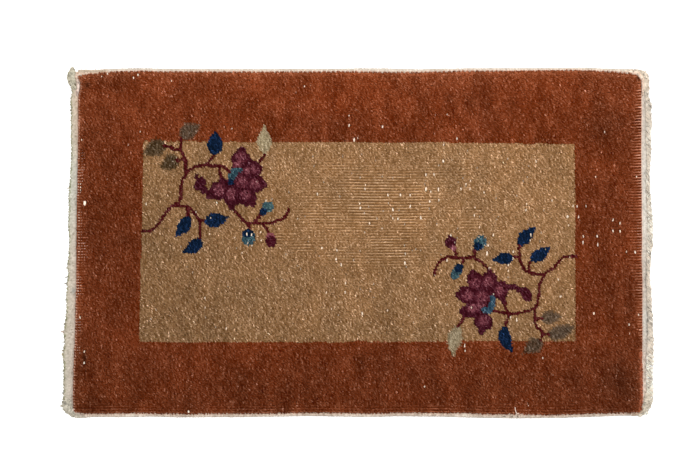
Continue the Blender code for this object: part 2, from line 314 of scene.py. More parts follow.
def cotton_material(name, scale, turn_deg, depth, bump_mm=0.25):
    """Undyed cotton: each place's shade from its tint, which on some parts carries painted shade too, broken up by
    soiling and fine twisted fibres.
    """
    m = bpy.data.materials.new(name)
    m.use_nodes = True
    t = m.node_tree
    s = t.nodes["Principled BSDF"]
    s.inputs["Roughness"].default_value = 0.93
    s.inputs["Specular IOR Level"].default_value = 0.08
    where = node(t, "ShaderNodeTexCoord")
    turn = node(t, "ShaderNodeMapping")
    turn.inputs["Rotation"].default_value = (0.0, 0.0, math.radians(turn_deg))
    t.links.new(where.outputs["Object"], turn.inputs["Vector"])
    stretch = node(t, "ShaderNodeMapping")
    stretch.inputs["Scale"].default_value = scale
    t.links.new(turn.outputs[0], stretch.inputs["Vector"])
    fibre = node(t, "ShaderNodeTexNoise")
    fibre.inputs["Scale"].default_value = 1.0
    fibre.inputs["Detail"].default_value = 4.0
    t.links.new(stretch.outputs[0], fibre.inputs["Vector"])
    soil = node(t, "ShaderNodeTexNoise")
    soil.inputs["Scale"].default_value = 95.0
    soil.inputs["Detail"].default_value = 3.0
    t.links.new(where.outputs["Object"], soil.inputs["Vector"])
    both = node(t, "ShaderNodeMath", operation="MULTIPLY_ADD")
    both.inputs[1].default_value = 0.4
    t.links.new(soil.outputs["Fac"], both.inputs[0])
    t.links.new(fibre.outputs["Fac"], both.inputs[2])
    ramp = node(t, "ShaderNodeMapRange")
    ramp.inputs["From Min"].default_value = 0.5
    ramp.inputs["From Max"].default_value = 0.9
    ramp.inputs["To Min"].default_value = 1.0 - depth
    ramp.inputs["To Max"].default_value = 1.0 + depth
    t.links.new(both.outputs[0], ramp.inputs["Value"])
    tint = node(t, "ShaderNodeAttribute", attribute_name="tint")
    mixed = node(t, "ShaderNodeVectorMath", operation="SCALE")
    t.links.new(tint.outputs["Color"], mixed.inputs[0])
    t.links.new(ramp.outputs["Result"], mixed.inputs["Scale"])
    t.links.new(mixed.outputs[0], s.inputs["Base Color"])
    bump = node(t, "ShaderNodeBump")
    bump.inputs["Strength"].default_value = 0.6
    bump.inputs["Distance"].default_value = bump_mm * MM
    t.links.new(fibre.outputs["Fac"], bump.inputs["Height"])
    t.links.new(bump.outputs[0], s.inputs["Normal"])
    return m


# ------------------------------------------------------------------ the design
# Dyes as seen on the mat, 0 to 255.
DYES = {
    "rust": (117, 55, 27), "camel": (153, 116, 79), "plum": (70, 20, 31), "mauve": (134, 74, 82),
    "navy": (14, 32, 57), "teal": (48, 69, 80), "sky": (62, 92, 99), "pale": (164, 148, 117),
    "slate": (76, 58, 38), "ash": (90, 73, 58), "fawn": (152, 136, 108), "wine": (78, 21, 23),
    "haze": (78, 108, 110), "steel": (53, 78, 94),
}
# undyed cotton, clean and soiled; the dark ones also serve as painted shadow in the gaps at the corners
COTTON = {
    "ivory": (194, 186, 170), "shell": (204, 184, 170), "straw": (186, 174, 144), "dun": (144, 130, 108),
    "olive": (116, 108, 84), "umber": (98, 82, 60),
}
WOOL_GAIN = 1.30             # makes up for the shade between the tufts
COTTON_GAIN = 0.78

# the field, a rectangle a little out of true: its sides in view pixels
FIELD_LEFT = ((140.8, 143.1), (165.0, 142.9), (185.0, 142.5), (205.0, 141.8), (225.0, 141.3),
              (255.0, 140.9), (290.0, 140.5), (303.0, 139.3), (341.8, 139.1))
FIELD_RIGHT = ((143.3, 574.8), (240.0, 574.9), (341.2, 575.4))
FIELD_TOP = ((143.1, 140.7), (190.0, 141.1), (300.0, 141.8), (365.0, 142.3), (440.0, 142.6),
             (500.0, 143.2), (574.8, 143.3))
FIELD_LOW = ((139.1, 341.6), (180.0, 342.2), (300.0, 342.0), (360.0, 341.4), (410.0, 341.7),
             (440.0, 341.1), (515.0, 341.0), (575.4, 341.3))

# stems: (width, ((x, y), ...)), drawn as smooth lines through the points
UPPER_STEMS = (
    (2.5, ((141.5, 231.8), (147, 231.4), (152, 229.6), (157, 225), (163, 216.8), (168, 209.5), (173, 205),
           (178, 202.4), (180.4, 198), (180.9, 186), (182, 179.8), (185.6, 175), (185.6, 166),
           (184.2, 158.4), (181.2, 151), (180.6, 143), (181.2, 138))),
    (2.9, ((164, 145), (171, 147.6), (180, 150.2))),
    (2.5, ((176, 159.8), (184, 159.4))),
    (3.4, ((184.8, 158), (185.6, 166), (185.4, 172))),
    (2.6, ((186, 173.6), (189.5, 170), (194.5, 167), (200, 165.2), (206, 164.9), (212, 165.3),
           (218.5, 165.2), (224, 167.2), (230, 172))),
    (2.3, ((206.3, 163.5), (209.2, 161), (212, 157.2), (214.2, 154))),
    (2.9, ((218.8, 167), (219.8, 173.4), (222.2, 179.5))),
    (2.3, ((264.6, 154.4), (261.4, 158.6), (258.2, 163.6))),
    (2.6, ((233.4, 209.6), (238.4, 214.8), (242.4, 219.8), (246.6, 222.2), (252, 223), (262, 222.8),
           (270.5, 222.6), (277, 220.8), (282.5, 218.3), (286.6, 214.6), (288.8, 208.4))),
    (2.6, ((255.2, 220.8), (258.4, 217.4), (260.8, 213.6))),
    (2.6, ((248.6, 223.4), (248.6, 229.5))),
    (2.3, ((262.8, 224.2), (266.2, 228.4), (268.6, 232.6))),
    (2.5, ((170.5, 205.6), (177, 205.6), (184, 206), (190, 208.6), (194.5, 213), (197.4, 218.2),
           (200, 220.6), (206, 220.8))),
    (3.6, ((187.8, 208.6), (188, 217.4))),
    (2.5, ((199.9, 221), (200.2, 229), (199.8, 238.4))),
)
LOWER_STEMS = (
    (2.4, ((576.6, 255.8), (571, 255.8), (566, 256.2), (561, 258.8), (556.6, 264.8), (551.3, 269.4),
           (546.4, 272.4), (543.2, 277), (540.6, 281.8), (538.9, 287.4), (538.6, 295.5), (537, 303.5),
           (534.9, 310.5), (534.3, 318.5), (536, 325), (540, 329.8), (543.5, 333), (548.6, 334.2))),
    (2.3, ((541.6, 333.2), (541, 340.6))),
    (2.5, ((545, 274.2), (538, 273.6), (530.6, 272.9), (526, 270.8), (522.6, 266.4), (520.4, 260.8),
           (519.3, 255), (519.2, 243.2))),
    (2.6, ((519, 257.4), (512.4, 257.4))),
    (2.3, ((529, 271.4), (528.9, 265.5), (530, 261.4))),
    (2.5, ((534.4, 318.6), (542.8, 318.6))),
    (2.5, ((534.6, 308.6), (529, 310.6), (523.7, 312.2), (517, 312.8), (510, 312.9), (503, 312.7),
           (498.4, 312), (493.8, 311.2))),
    (2.5, ((505.2, 303), (504.8, 306.8), (506.8, 311), (508.2, 315.6), (506.7, 321), (505, 327.6))),
    (2.6, ((464.6, 315.6), (461.4, 321), (457.8, 326.2))),
    (2.5, ((490.4, 270.6), (486, 266.6), (480.6, 261.6), (475.2, 258), (470, 257.5), (462, 257.8),
           (454, 257.6), (446.6, 257.4), (441.6, 260.2), (437.8, 263.8), (435.8, 268.4), (434.1, 275))),
    (2.3, ((455, 251.4), (456.2, 256.4))),
    (2.6, ((474.3, 250.4), (474.7, 257))),
    (2.3, ((464.4, 258.6), (462.2, 263))),
)

# leaves: base, tip, width, how far the middle bends to the right of tip-to-base, dye, softness
LEAVES = (
    dict(base=(214.8, 154.8), tip=(215.0, 130.0), width=15.8, bend=0.0, dye="navy", soft=0.0),
    dict(base=(189.6, 216.8), tip=(174.6, 237.2), width=13.6, bend=0.6, dye="navy", soft=0.0),
    dict(base=(204.6, 221.6), tip=(229.0, 216.6), width=14.6, bend=-0.8, dye="navy", soft=0.0),
    dict(base=(201.4, 239.6), tip=(181.8, 252.8), width=13.4, bend=1.4, dye="navy", soft=0.0),
    dict(base=(264.8, 152.8), tip=(263.4, 124.6), width=15.2, bend=0.2, dye="pale", soft=0.3),
    dict(base=(180.6, 137.4), tip=(200.8, 124.2), width=18.0, bend=1.0, dye="ash", soft=0.75),
    dict(base=(165.0, 142.8), tip=(142.0, 154.6), width=19.0, bend=0.0, dye="slate", soft=0.8),
    dict(base=(178.6, 158.0), tip=(158.4, 168.4), width=16.6, bend=0.0, dye="slate", soft=0.8),
    dict(base=(518.8, 244.6), tip=(536.2, 226.6), width=13.4, bend=0.8, dye="navy", soft=0.0),
    dict(base=(513.0, 257.8), tip=(491.8, 260.4), width=12.4, bend=-0.6, dye="navy", soft=0.0),
    dict(base=(530.6, 260.2), tip=(551.0, 245.8), width=12.8, bend=-0.8, dye="navy", soft=0.0),
    dict(base=(503.4, 326.4), tip=(513.0, 353.0), width=13.6, bend=-2.9, dye="navy", soft=0.0),
    dict(base=(457.8, 326.2), tip=(453.0, 357.8), width=15.4, bend=-1.9, dye="fawn", soft=0.45),
    dict(base=(540.4, 318.2), tip=(563.4, 316.0), width=15.0, bend=0.0, dye="ash", soft=0.8),
    dict(base=(547.4, 336.0), tip=(577.0, 325.4), width=15.4, bend=-0.6, dye="ash", soft=0.7),
    dict(base=(542.0, 340.2), tip=(522.6, 353.2), width=17.0, bend=0.0, dye="ash", soft=0.75),
)

# blossoms: rounds of plum: centre, half sizes, turn in degrees
UPPER_PETALS = (
    (240.6, 158.6, 9.6, 8.6, 0), (241.4, 150.6, 4.8, 4.2, 0), (246.6, 163.6, 7.0, 6.8, 0),
    (252.6, 168.8, 9.0, 8.4, 0), (258.6, 168.4, 3.4, 4.2, 0), (256.4, 183.6, 8.8, 8.6, 0),
    (263.8, 184.2, 3.4, 3.6, 0), (247.4, 197.0, 9.0, 9.4, 0), (252.4, 203.4, 3.4, 3.8, 0),
    (232.2, 197.8, 8.8, 8.8, 0), (231.4, 205.8, 3.4, 4.2, 0), (218.4, 190.6, 9.4, 9.6, 0),
    (209.6, 194.6, 4.4, 4.6, 0), (222.0, 181.2, 4.4, 3.8, 0), (241.4, 181.4, 14.4, 14.4, 0),
    (229.0, 187.6, 6.0, 6.4, 0), (236.4, 167.4, 4.8, 4.6, 0),
)
LOWER_PETALS = (
    (474.4, 279.4, 8.2, 8.0, 0), (473.0, 271.8, 3.2, 3.2, 0), (489.2, 279.6, 8.2, 8.8, 0),
    (489.6, 271.2, 3.4, 3.0, 0), (501.0, 290.8, 7.4, 9.2, 0), (500.8, 283.4, 5.0, 3.0, 0),
    (503.2, 300.2, 2.4, 3.2, 0), (465.6, 295.0, 9.6, 7.6, 0), (457.6, 294.8, 3.2, 2.6, 0),
    (463.6, 288.6, 4.0, 3.2, 0), (470.2, 311.0, 9.6, 7.4, 0), (461.6, 310.8, 3.0, 2.6, 0),
    (483.2, 321.6, 9.4, 8.2, 0), (481.6, 330.6, 3.8, 4.0, 0), (489.4, 325.2, 3.4, 3.4, 0),
    (482.6, 297.6, 13.4, 13.6, 0), (476.6, 305.0, 8.4, 9.4, 0), (482.6, 285.6, 6.4, 6.0, 0),
    (480.6, 313.4, 8.0, 4.0, 0), (488.0, 322.4, 5.4, 6.6, 0), (471.6, 287.8, 4.4, 3.6, 0),
    (493.0, 287.6, 3.6, 3.8, 0),
)
# hearts of the petals, where mauve wool is mixed in: centre, half sizes, share
MAUVE_SPOTS = (
    (240.8, 157.6, 6.4, 6.4, 0.72), (236.2, 164.6, 5.4, 4.0, 0.95), (254.4, 168.8, 5.6, 5.4, 0.55),
    (246.8, 170.6, 5.0, 4.6, 0.80), (254.2, 183.6, 6.4, 6.0, 0.66), (241.6, 181.8, 7.0, 6.4, 0.68),
    (218.8, 190.0, 6.6, 6.6, 0.90), (231.0, 193.8, 5.6, 7.0, 0.86), (245.2, 195.0, 6.4, 5.6, 0.80),
    (474.8, 283.0, 6.2, 5.8, 0.82), (488.6, 281.8, 5.4, 7.0, 0.70), (499.8, 290.4, 5.6, 5.8, 0.74),
    (467.4, 295.0, 6.8, 5.4, 0.82), (472.4, 308.2, 6.8, 5.4, 0.86), (483.6, 320.2, 6.6, 6.8, 0.58),
    (481.8, 297.4, 7.6, 6.6, 0.78), (481.0, 305.6, 4.6, 4.0, 0.66), (525.0, 292.4, 5.6, 6.6, 0.42),
    (514.0, 287.0, 7.0, 3.0, 0.25), (451.6, 243.6, 5.0, 5.0, 0.30), (199.6, 183.8, 4.6, 6.4, 0.22),
)
ROUNDS = (
    (199.6, 183.8, 5.6, 7.4, 28, "plum"), (196.0, 176.6, 2.1, 3.4, 24, "plum"),
    (204.0, 190.4, 3.4, 4.2, 20, "plum"),
    (239.0, 169.6, 4.0, 2.5, -8, "teal"), (234.4, 171.6, 4.6, 3.6, 35, "teal"),
    (231.4, 177.0, 3.6, 4.6, -12, "teal"), (230.4, 182.0, 3.0, 3.6, 0, "navy"),
    (267.8, 206.6, 5.9, 5.4, 20, "haze"), (262.8, 211.6, 4.2, 3.6, 0, "navy"),
    (248.3, 237.6, 6.6, 7.8, 0, "sky"), (248.2, 233.2, 6.0, 4.2, 0, "navy"),
    (270.2, 236.4, 4.6, 3.6, 0, "mauve"), (270.8, 241.6, 5.5, 5.8, 0, "plum"),
    (450.4, 242.2, 6.1, 6.2, 0, "plum"), (453.4, 247.9, 3.2, 2.8, 0, "mauve"),
    (480.4, 242.4, 6.5, 6.6, 0, "sky"), (477.6, 246.4, 4.9, 4.4, 0, "navy"),
    (456.6, 271.6, 5.0, 8.4, 28, "sky"), (458.8, 268.2, 4.3, 5.0, 24, "navy"),
    (510.4, 286.8, 9.0, 2.9, 4, "plum"), (519.6, 289.4, 5.2, 3.0, 20, "plum"),
    (526.0, 293.8, 5.4, 7.4, -38, "plum"), (528.4, 299.0, 3.2, 2.8, 0, "plum"),
    (492.4, 299.6, 3.0, 4.4, 0, "steel"), (491.8, 305.2, 3.6, 4.0, 10, "steel"),
    (488.0, 310.0, 4.6, 3.6, 30, "steel"), (484.0, 309.4, 3.0, 2.2, 0, "steel"),
)

BORDER, FIELD, PLUM, NAVY, TEAL, SOFT, MAUVE = range(7)
KINDS = {"plum": PLUM, "navy": NAVY, "teal": TEAL, "sky": TEAL, "haze": TEAL, "steel": TEAL, "mauve": MAUVE}


def curve_points(points, step=0.35):
    """Places along a smooth line through the given points."""
    p = np.array(points, float)
    if len(p) == 2:
        p = np.array([p[0], p.mean(0), p[1]])
    ends = np.vstack([2 * p[0] - p[1], p, 2 * p[-1] - p[-2]])
    out = []
    for k in range(1, len(ends) - 2):
        a, b, c, d = ends[k - 1:k + 3]
        n = max(3, int(np.linalg.norm(c - b) / step))
        t = np.linspace(0, 1, n, endpoint=False)[:, None]
        out.append(0.5 * (2 * b + (c - a) * t + (2 * a - 5 * b + 4 * c - d) * t ** 2
                          + (3 * b - a - 3 * c + d) * t ** 3))
    out.append(p[-1:])
    return np.vstack(out)


def ellipse(px, py, cx, cy, rx, ry, turn=0.0):
    """Distance from a centre in units of the half sizes."""
    a = math.radians(turn)
    dx, dy = px - cx, py - cy
    u, v = dx * math.cos(a) + dy * math.sin(a), -dx * math.sin(a) + dy * math.cos(a)
    return np.hypot(u / rx, v / ry)


def stem_mask(px, py, width, points):
    line = curve_points(points)
    inside = np.zeros(px.shape, bool)
    near = ((px > line[:, 0].min() - 5) & (px < line[:, 0].max() + 5)
            & (py > line[:, 1].min() - 5) & (py < line[:, 1].max() + 5))
    qx, qy = px[near], py[near]
    d = np.hypot(qx[:, None] - line[None, :, 0], qy[:, None] - line[None, :, 1]).min(1)
    inside[near] = d < width / 2
    return inside


def leaf_depth(px, py, leaf):
    """How far inside a leaf's outline a place is, in pixels; negative outside."""
    base, tip = np.array(leaf["base"]), np.array(leaf["tip"])
    length = np.linalg.norm(tip - base)
    d = (tip - base) / length
    n = np.array((d[1], -d[0]))
    s = ((px - base[0]) * d[0] + (py - base[1]) * d[1]) / length
    t = (px - base[0]) * n[0] + (py - base[1]) * n[1] - leaf["bend"] * 4 * s * (1 - s)
    widest = 0.42
    low = np.sqrt(np.clip(1 - ((widest - s) / widest) ** 2, 0, 1))
    q = np.clip((s - widest) / (1 - widest), 0, 1)
    high = (1 - q ** 1.6) * (1 - 0.16 * q)
    w = leaf["width"] / 2 * np.where(s < widest, low, high)
    return np.where((s > -0.1) & (s < 1.1), w - np.abs(t), -9.0)


def field_mask(px, py):
    left = np.interp(py, *np.array(FIELD_LEFT).T)
    right = np.interp(py, *np.array(FIELD_RIGHT).T)
    top = np.interp(px, *np.array(FIELD_TOP).T) + 0.35 * value_noise(px, px * 0, 9, 1, 5)
    low = np.interp(px, *np.array(FIELD_LOW).T) + 0.35 * value_noise(px, px * 0, 10, 1, 6)
    return (px > left) & (px < right) & (py > top) & (py < low)


def blend(colour, where, other, share):
    share = np.asarray(share, float)[..., None] * np.ones(3)
    colour[where] = (colour * (1 - share) + np.array(other, float) * share)[where]


def design(px, py, chance, own):
    """Colour, 0 to 255, and kind of wool at each place. chance: one number, 0 to 1, a
    knot; own: one a tuft."""
    shape = px.shape
    in_field = field_mask(px, py)
    colour = np.empty(shape + (3,))
    colour[...] = DYES["rust"]
    colour[in_field] = DYES["camel"]
    kind = np.where(in_field, FIELD, BORDER)
    one = np.ones(shape)
    for leaf in LEAVES:
        depth = leaf_depth(px, py, leaf)
        if leaf["soft"]:
            hit = 0.5 * chance + 0.5 * own < 0.05 + 1.0 * smoothstep(-1.4, 2.2, depth)
            hit &= depth > -1.4
            strength = np.clip(0.58 + 0.42 * smoothstep(-0.5, 4.5, depth)
                               + (1 - leaf["soft"]) * 0.4 - leaf["soft"] * 0.34 * own, 0, 1)
            blend(colour, hit, DYES[leaf["dye"]], strength)
            kind = np.where(hit, SOFT, kind)
        else:
            hit = depth > 0.0
            blend(colour, hit, DYES["navy"], one)
            kind = np.where(hit, NAVY, kind)
    bloom = np.zeros(shape, bool)
    for petal in UPPER_PETALS + LOWER_PETALS:
        bloom |= ellipse(px, py, *petal) < 1.0
    blend(colour, bloom, DYES["plum"], one)
    kind = np.where(bloom, PLUM, kind)
    heart = np.zeros(shape)
    for cx, cy, rx, ry, share in MAUVE_SPOTS:
        r = ellipse(px, py, cx, cy, rx, ry)
        heart = np.maximum(heart, share * (1.0 - smoothstep(0.55, 1.15, r)))
    mixed = bloom & (heart > 0.04)
    lot = 0.35 * chance + 0.65 * own
    blend(colour, mixed, DYES["mauve"], np.clip(1.5 * heart * (1.55 * lot - 0.18), 0, 1))
    kind = np.where(mixed, MAUVE, kind)
    for width, points in UPPER_STEMS + LOWER_STEMS:
        hit = stem_mask(px, py, width * 1.24, points) & (kind != NAVY) & (kind != MAUVE)
        blend(colour, hit & (kind != PLUM), DYES["wine"], one)
        kind = np.where(hit, PLUM, kind)
    for cx, cy, rx, ry, turn, dye in ROUNDS:
        hit = ellipse(px, py, cx, cy, rx, ry, turn) < 1.0
        blend(colour, hit, DYES[dye], one)
        if dye in ("sky", "haze"):
            blend(colour, hit, DYES["teal"], np.clip(1.6 * own - 0.5, 0, 1))
        if dye == "teal":
            blend(colour, hit, DYES["sky"], np.clip(1.6 * own - 0.4, 0, 1))
        kind = np.where(hit, KINDS[dye], kind)
    return colour, kind, in_field


# ------------------------------------------------------------------ wear and bare knots
RIB_PATCHES = (  # trodden places where the ribs of knots show: centre, reach, strength, in view pixels
    (366, 203, 58, 36, 1.0), (406, 205, 34, 40, 0.8), (325, 205, 34, 42, 0.7), (395, 248, 44, 24, 0.8),
    (445, 168, 32, 20, 0.5), (340, 168, 36, 16, 0.55), (282, 240, 16, 9, 0.7), (290, 212, 20, 22, 0.4),
    (466, 222, 40, 26, 0.5), (356, 254, 38, 14, 0.6), (304, 246, 16, 10, 0.8), (540, 210, 40, 40, 0.15),
)

# bare cotton showing through the pile: place in view pixels, width and height in pixels
BARE = (
    (84.7, 203.0, 3.4, 5.2), (84.3, 351.5, 1.9, 2.6), (84.1, 362.8, 1.9, 2.8), (81.6, 140.0, 1.4, 2.0),
    (80.5, 184.0, 1.4, 1.6), (80.5, 187.2, 1.4, 1.7), (80.4, 190.4, 1.3, 1.5), (128.3, 144.8, 1.2, 2.2),
    (140.2, 131.8, 1.1, 2.2), (146.2, 203.9, 1.4, 2.8), (231.8, 128.6, 2.0, 1.5),
    (210.7, 218.0, 1.4, 2.0), (209.6, 233.8, 1.8, 2.0),
    (246.8, 234.4, 1.5, 3.4), (251.6, 234.8, 1.5, 3.4),
    (247.8, 242.8, 1.2, 2.4), (251.9, 245.6, 1.7, 2.0), (266.0, 200.8, 1.6, 2.8), (260.6, 232.1, 1.7, 2.0),
    (261.1, 240.3, 1.7, 2.2), (234.5, 237.6, 1.7, 1.6), (242.1, 252.7, 1.5, 1.6), (354.1, 140.0, 2.2, 4.2),
    (357.6, 138.0, 1.2, 2.2), (443.6, 144.1, 1.6, 3.2), (443.2, 160.9, 2.2, 3.0),
    (317.4, 194.0, 1.5, 3.2), (400.4, 195.0, 1.9, 3.0), (387.9, 195.0, 1.6, 3.0),
    (410.2, 195.2, 1.4, 2.8), (359.7, 203.6, 1.5, 2.0), (360.4, 208.0, 2.2, 2.8),
    (392.8, 209.7, 2.1, 3.6), (410.2, 206.3, 1.9, 3.2),
    (397.9, 218.9, 1.7, 2.8), (392.8, 218.4, 1.6, 2.8), (369.5, 223.3, 1.7, 2.6), (382.0, 228.4, 2.0, 1.6),
    (420.8, 217.8, 2.2, 4.0), (425.9, 189.1, 1.9, 4.4), (430.8, 191.8, 1.6, 2.6), (438.4, 189.4, 1.7, 4.0),
    (429.7, 201.2, 1.9, 3.0), (438.9, 200.2, 1.7, 2.8), (425.9, 174.6, 1.6, 3.0), (434.0, 174.5, 1.5, 2.8),
    (404.8, 263.2, 2.2, 3.6), (405.3, 253.8, 1.5, 2.6), (335.9, 259.1, 1.9, 2.8),
    (341.3, 264.6, 1.5, 3.6), (336.9, 250.4, 1.6, 2.4), (321.8, 248.2, 2.0, 2.4),
    (447.0, 260.4, 1.8, 3.4), (450.8, 235.2, 1.6, 2.8), (474.4, 215.6, 1.4, 3.0), (479.5, 227.2, 1.4, 2.8),
    (493.3, 235.0, 1.9, 3.2), (530.8, 235.0, 1.7, 3.6), (530.2, 240.4, 1.4, 2.2), (488.1, 245.4, 1.4, 3.0),
    (487.0, 253.4, 2.4, 5.0), (513.2, 251.6, 1.8, 3.4), (512.8, 258.4, 1.8, 2.8), (508.3, 264.8, 1.4, 2.8),
    (508.3, 270.8, 1.4, 2.8), (558.2, 279.3, 1.5, 3.0), (560.5, 296.4, 2.6, 2.6),
    (567.4, 216.7, 3.2, 3.2), (568.6, 225.3, 1.7, 2.2), (578.4, 216.8, 1.5, 3.2), (573.0, 206.0, 1.5, 2.8),
    (577.0, 206.2, 1.4, 2.8), (613.0, 220.0, 1.7, 3.2), (620.0, 223.0, 1.6, 3.4), (613.0, 231.0, 1.6, 3.0),
    (620.2, 231.4, 1.6, 2.8), (583.3, 236.4, 1.5, 3.0), (582.9, 242.4, 1.7, 4.2), (597.2, 236.2, 1.7, 2.8),
    (597.7, 244.6, 1.6, 3.8), (593.8, 313.3, 2.4, 2.6), (464.6, 345.6, 1.2, 4.2),
    (465.0, 350.6, 1.1, 3.0), (542.7, 357.9, 1.7, 2.4), (516.6, 319.8, 1.3, 4.2),
    (188.6, 411.6, 2.2, 2.8), (528.4, 405.6, 1.0, 1.2), (101.7, 76.5, 1.2, 1.5), (107.5, 74.0, 2.0, 1.6),
    (304.5, 86.4, 1.6, 2.0), (635.2, 252.2, 2.0, 3.2),
    (626.4, 251.6, 1.7, 2.2), (638.6, 315.0, 1.8, 2.4), (629.0, 324.6, 1.9, 2.6),
    (604.6, 132.0, 1.4, 2.4), (636.6, 176.8, 1.4, 1.8), (471.4, 307.6, 1.6, 2.2),
    # over the upper middle and the upper border
    (382.5, 126.5, 2.0, 3.4), (349.0, 125.5, 1.9, 3.4), (349.0, 115.5, 1.6, 2.0), (457.0, 138.5, 1.6, 2.8),
    (447.0, 114.5, 1.2, 2.0), (138.0, 75.0, 2.0, 2.6), (133.5, 78.0, 1.6, 2.4), (171.5, 81.0, 1.0, 1.6),
    (536.0, 161.5, 1.4, 2.8), (595.5, 177.0, 1.5, 2.0),
    # the trodden middle
    (461.0, 189.0, 1.6, 2.8), (470.0, 189.0, 1.5, 2.6), (466.0, 184.0, 1.6, 2.4), (470.5, 181.0, 1.5, 2.6),
    (484.0, 192.5, 1.5, 2.2), (365.0, 189.0, 1.3, 2.4), (365.5, 185.0, 1.3, 2.2), (475.0, 207.5, 1.6, 2.0),
    (479.0, 237.0, 1.2, 1.8), (526.5, 204.0, 1.4, 2.8), (526.0, 210.0, 1.6, 2.6), (552.0, 200.5, 1.7, 2.6),
    (586.0, 206.0, 1.3, 2.6), (196.0, 212.0, 1.2, 2.0),
    # the lower part of the field and below it
    (415.8, 299.0, 1.4, 2.0), (326.3, 292.7, 1.4, 2.8), (345.5, 283.0, 1.7, 3.0), (345.0, 292.5, 1.7, 3.0),
    (226.3, 328.5, 1.6, 2.6), (362.3, 313.5, 2.0, 3.0), (331.5, 309.0, 1.2, 2.2), (205.0, 307.5, 1.8, 2.6),
    (205.0, 298.0, 1.3, 2.2), (387.5, 310.5, 1.7, 2.2), (408.8, 315.5, 1.3, 1.6), (510.5, 317.3, 1.7, 2.4),
    (493.5, 294.0, 1.3, 1.8), (151.0, 319.0, 1.2, 2.0), (424.5, 386.5, 2.2, 2.0), (629.5, 333.5, 1.0, 1.8),
    (80.0, 317.6, 1.6, 2.6),
)


def faint_knots():
    """Knots worn nearly bare: most in the trodden middle and along the ribs beside it."""
    rng = np.random.default_rng(560)
    out = []
    while len(out) < 120:
        x, y = rng.uniform(84.0, 636.0), rng.uniform(80.0, 404.0)
        trodden = math.exp(-((x - 430) / 130) ** 2 - ((y - 215) / 75) ** 2)
        wide = 0.30 * math.exp(-((x - 350) / 260) ** 2 - ((y - 240) / 90) ** 2)
        if rng.random() > max(trodden, wide) + 0.02:
            continue
        out.append((x, y, rng.uniform(0.9, 1.4), rng.uniform(1.5, 2.5)))
    return tuple(out)


FAINT = faint_knots()


def ridge_reach(share, seed, row, far, spread):
    """How many pixels the bare ribs reach in from an end, for each rib."""
    rng = np.random.default_rng(seed)
    py = view_px(0.0, patch(np.full(RIBS, share), (np.arange(RIBS) + 0.5) / RIBS)[1])[1]
    reach = np.interp(py, row, far) + 0.3 * spread * clouds(py * 0, py, 16.0, seed, 2)
    reach = reach + spread * rng.normal(0, 1.0, RIBS) + 2.0 * spread * (rng.random(RIBS) < 0.10)
    return np.clip(reach, 0.6, 20.0)


REACH_RIGHT = ridge_reach(0.97, 321, (74, 84, 100, 130, 170, 200, 250, 270, 300, 330, 346, 356, 410),
                          (0.6, 5.5, 9.0, 10.0, 10.5, 13.0, 12.5, 10.0, 8.5, 6.0, 3.0, 1.0, 0.8), 1.7)
REACH_LEFT = ridge_reach(0.03, 322, (74, 150, 165, 200, 215, 265, 290, 320, 345, 410),
                         (2.0, 2.5, 6.0, 6.0, 9.0, 10.0, 6.5, 6.0, 3.5, 3.0), 1.2)


def bareness(px, py, rib):
    """0 to 1: how much the ribs of knots show through the worn pile."""
    total = np.zeros(px.shape)
    for cx, cy, rx, ry, strength in RIB_PATCHES:
        total = np.maximum(total, strength * np.exp(-((px - cx) / rx) ** 2 - ((py - cy) / ry) ** 2))
    patchy = 0.5 + 0.42 * clouds(px, py, 17.0, 300, 3, 0.7) + 0.34 * value_noise(px, py, 5.5, 16.0, 304)
    total = np.clip(total * (0.25 + 1.5 * patchy) * 1.25 - 0.14, 0, 1)
    ends = 0.60 * smoothstep(0.0, 1.0, (px - (642.4 - 1.1 * REACH_RIGHT[rib])) / 3.4)
    ends = ends + 0.28 * smoothstep(0.0, 1.0, (px - (641.6 - 0.50 * np.minimum(REACH_RIGHT[rib], 11.0))) / 2.6)
    ends = ends + 0.34 * smoothstep(633.0, 637.0, px) * smoothstep(84.0, 89.0, py) * smoothstep(215.0, 190.0, py)
    left = smoothstep(1.0, 0.0, (px - 74.5 - REACH_LEFT[rib]) / 3.0) * np.interp(
        py, (75, 140, 160, 195, 204, 270, 300, 320, 345, 408), (0.05, 0.1, 0.35, 0.4, 0.43, 0.43, 0.35, 0.3, 0.2, 0.2))
    low = smoothstep(403.0, 406.0, py) * (0.15 + 0.2 * smoothstep(138, 122, px)
                                          + 0.3 * smoothstep(0.1, 0.5, clouds(px, px * 0, 30.0, 340, 2))
                                          + 0.22 * smoothstep(195, 220, px) * smoothstep(520, 495, px)
                                          * smoothstep(404.5, 408.0, py))
    top = smoothstep(79.0, 76.0, py) * (0.12 + 0.28 * smoothstep(606, 616, px))
    return np.clip(np.maximum.reduce([total, ends, left, low, top]), 0, 1)


def pile_height(x, y):
    """Height of the pile's tips over the underside, in millimetres, away from the edges."""
    worn = sum(share * np.exp(-((x - cx) / rx) ** 2 - ((y - cy) / ry) ** 2)
               for cx, cy, rx, ry, share in WEAR)
    lumps = 0.22 * np.sin(x / 61.0 + 1.3) * np.sin(y / 47.0) + 0.12 * np.sin(x / 23.0 + y / 31.0)
    return BORDER_HEIGHT - WEAR_DEPTH * worn + lumps


def shoulder(distance):
    t = np.clip(distance / SHOULDER, 0.0, 1.0)
    return np.sqrt(np.clip(1.0 - (1.0 - t) ** 2, 0.0, 1.0))


STAINS = (  # paler and darker places in the border: centre, reach, share, in view pixels
    (95, 92, 24, 16, 0.07), (620, 92, 18, 18, 0.08), (330, 102, 32, 24, 0.06), (378, 364, 26, 20, -0.10),
    (95, 388, 24, 14, 0.07), (212, 108, 18, 14, -0.05), (606, 118, 16, 14, -0.04), (622, 382, 20, 26, -0.09),
)


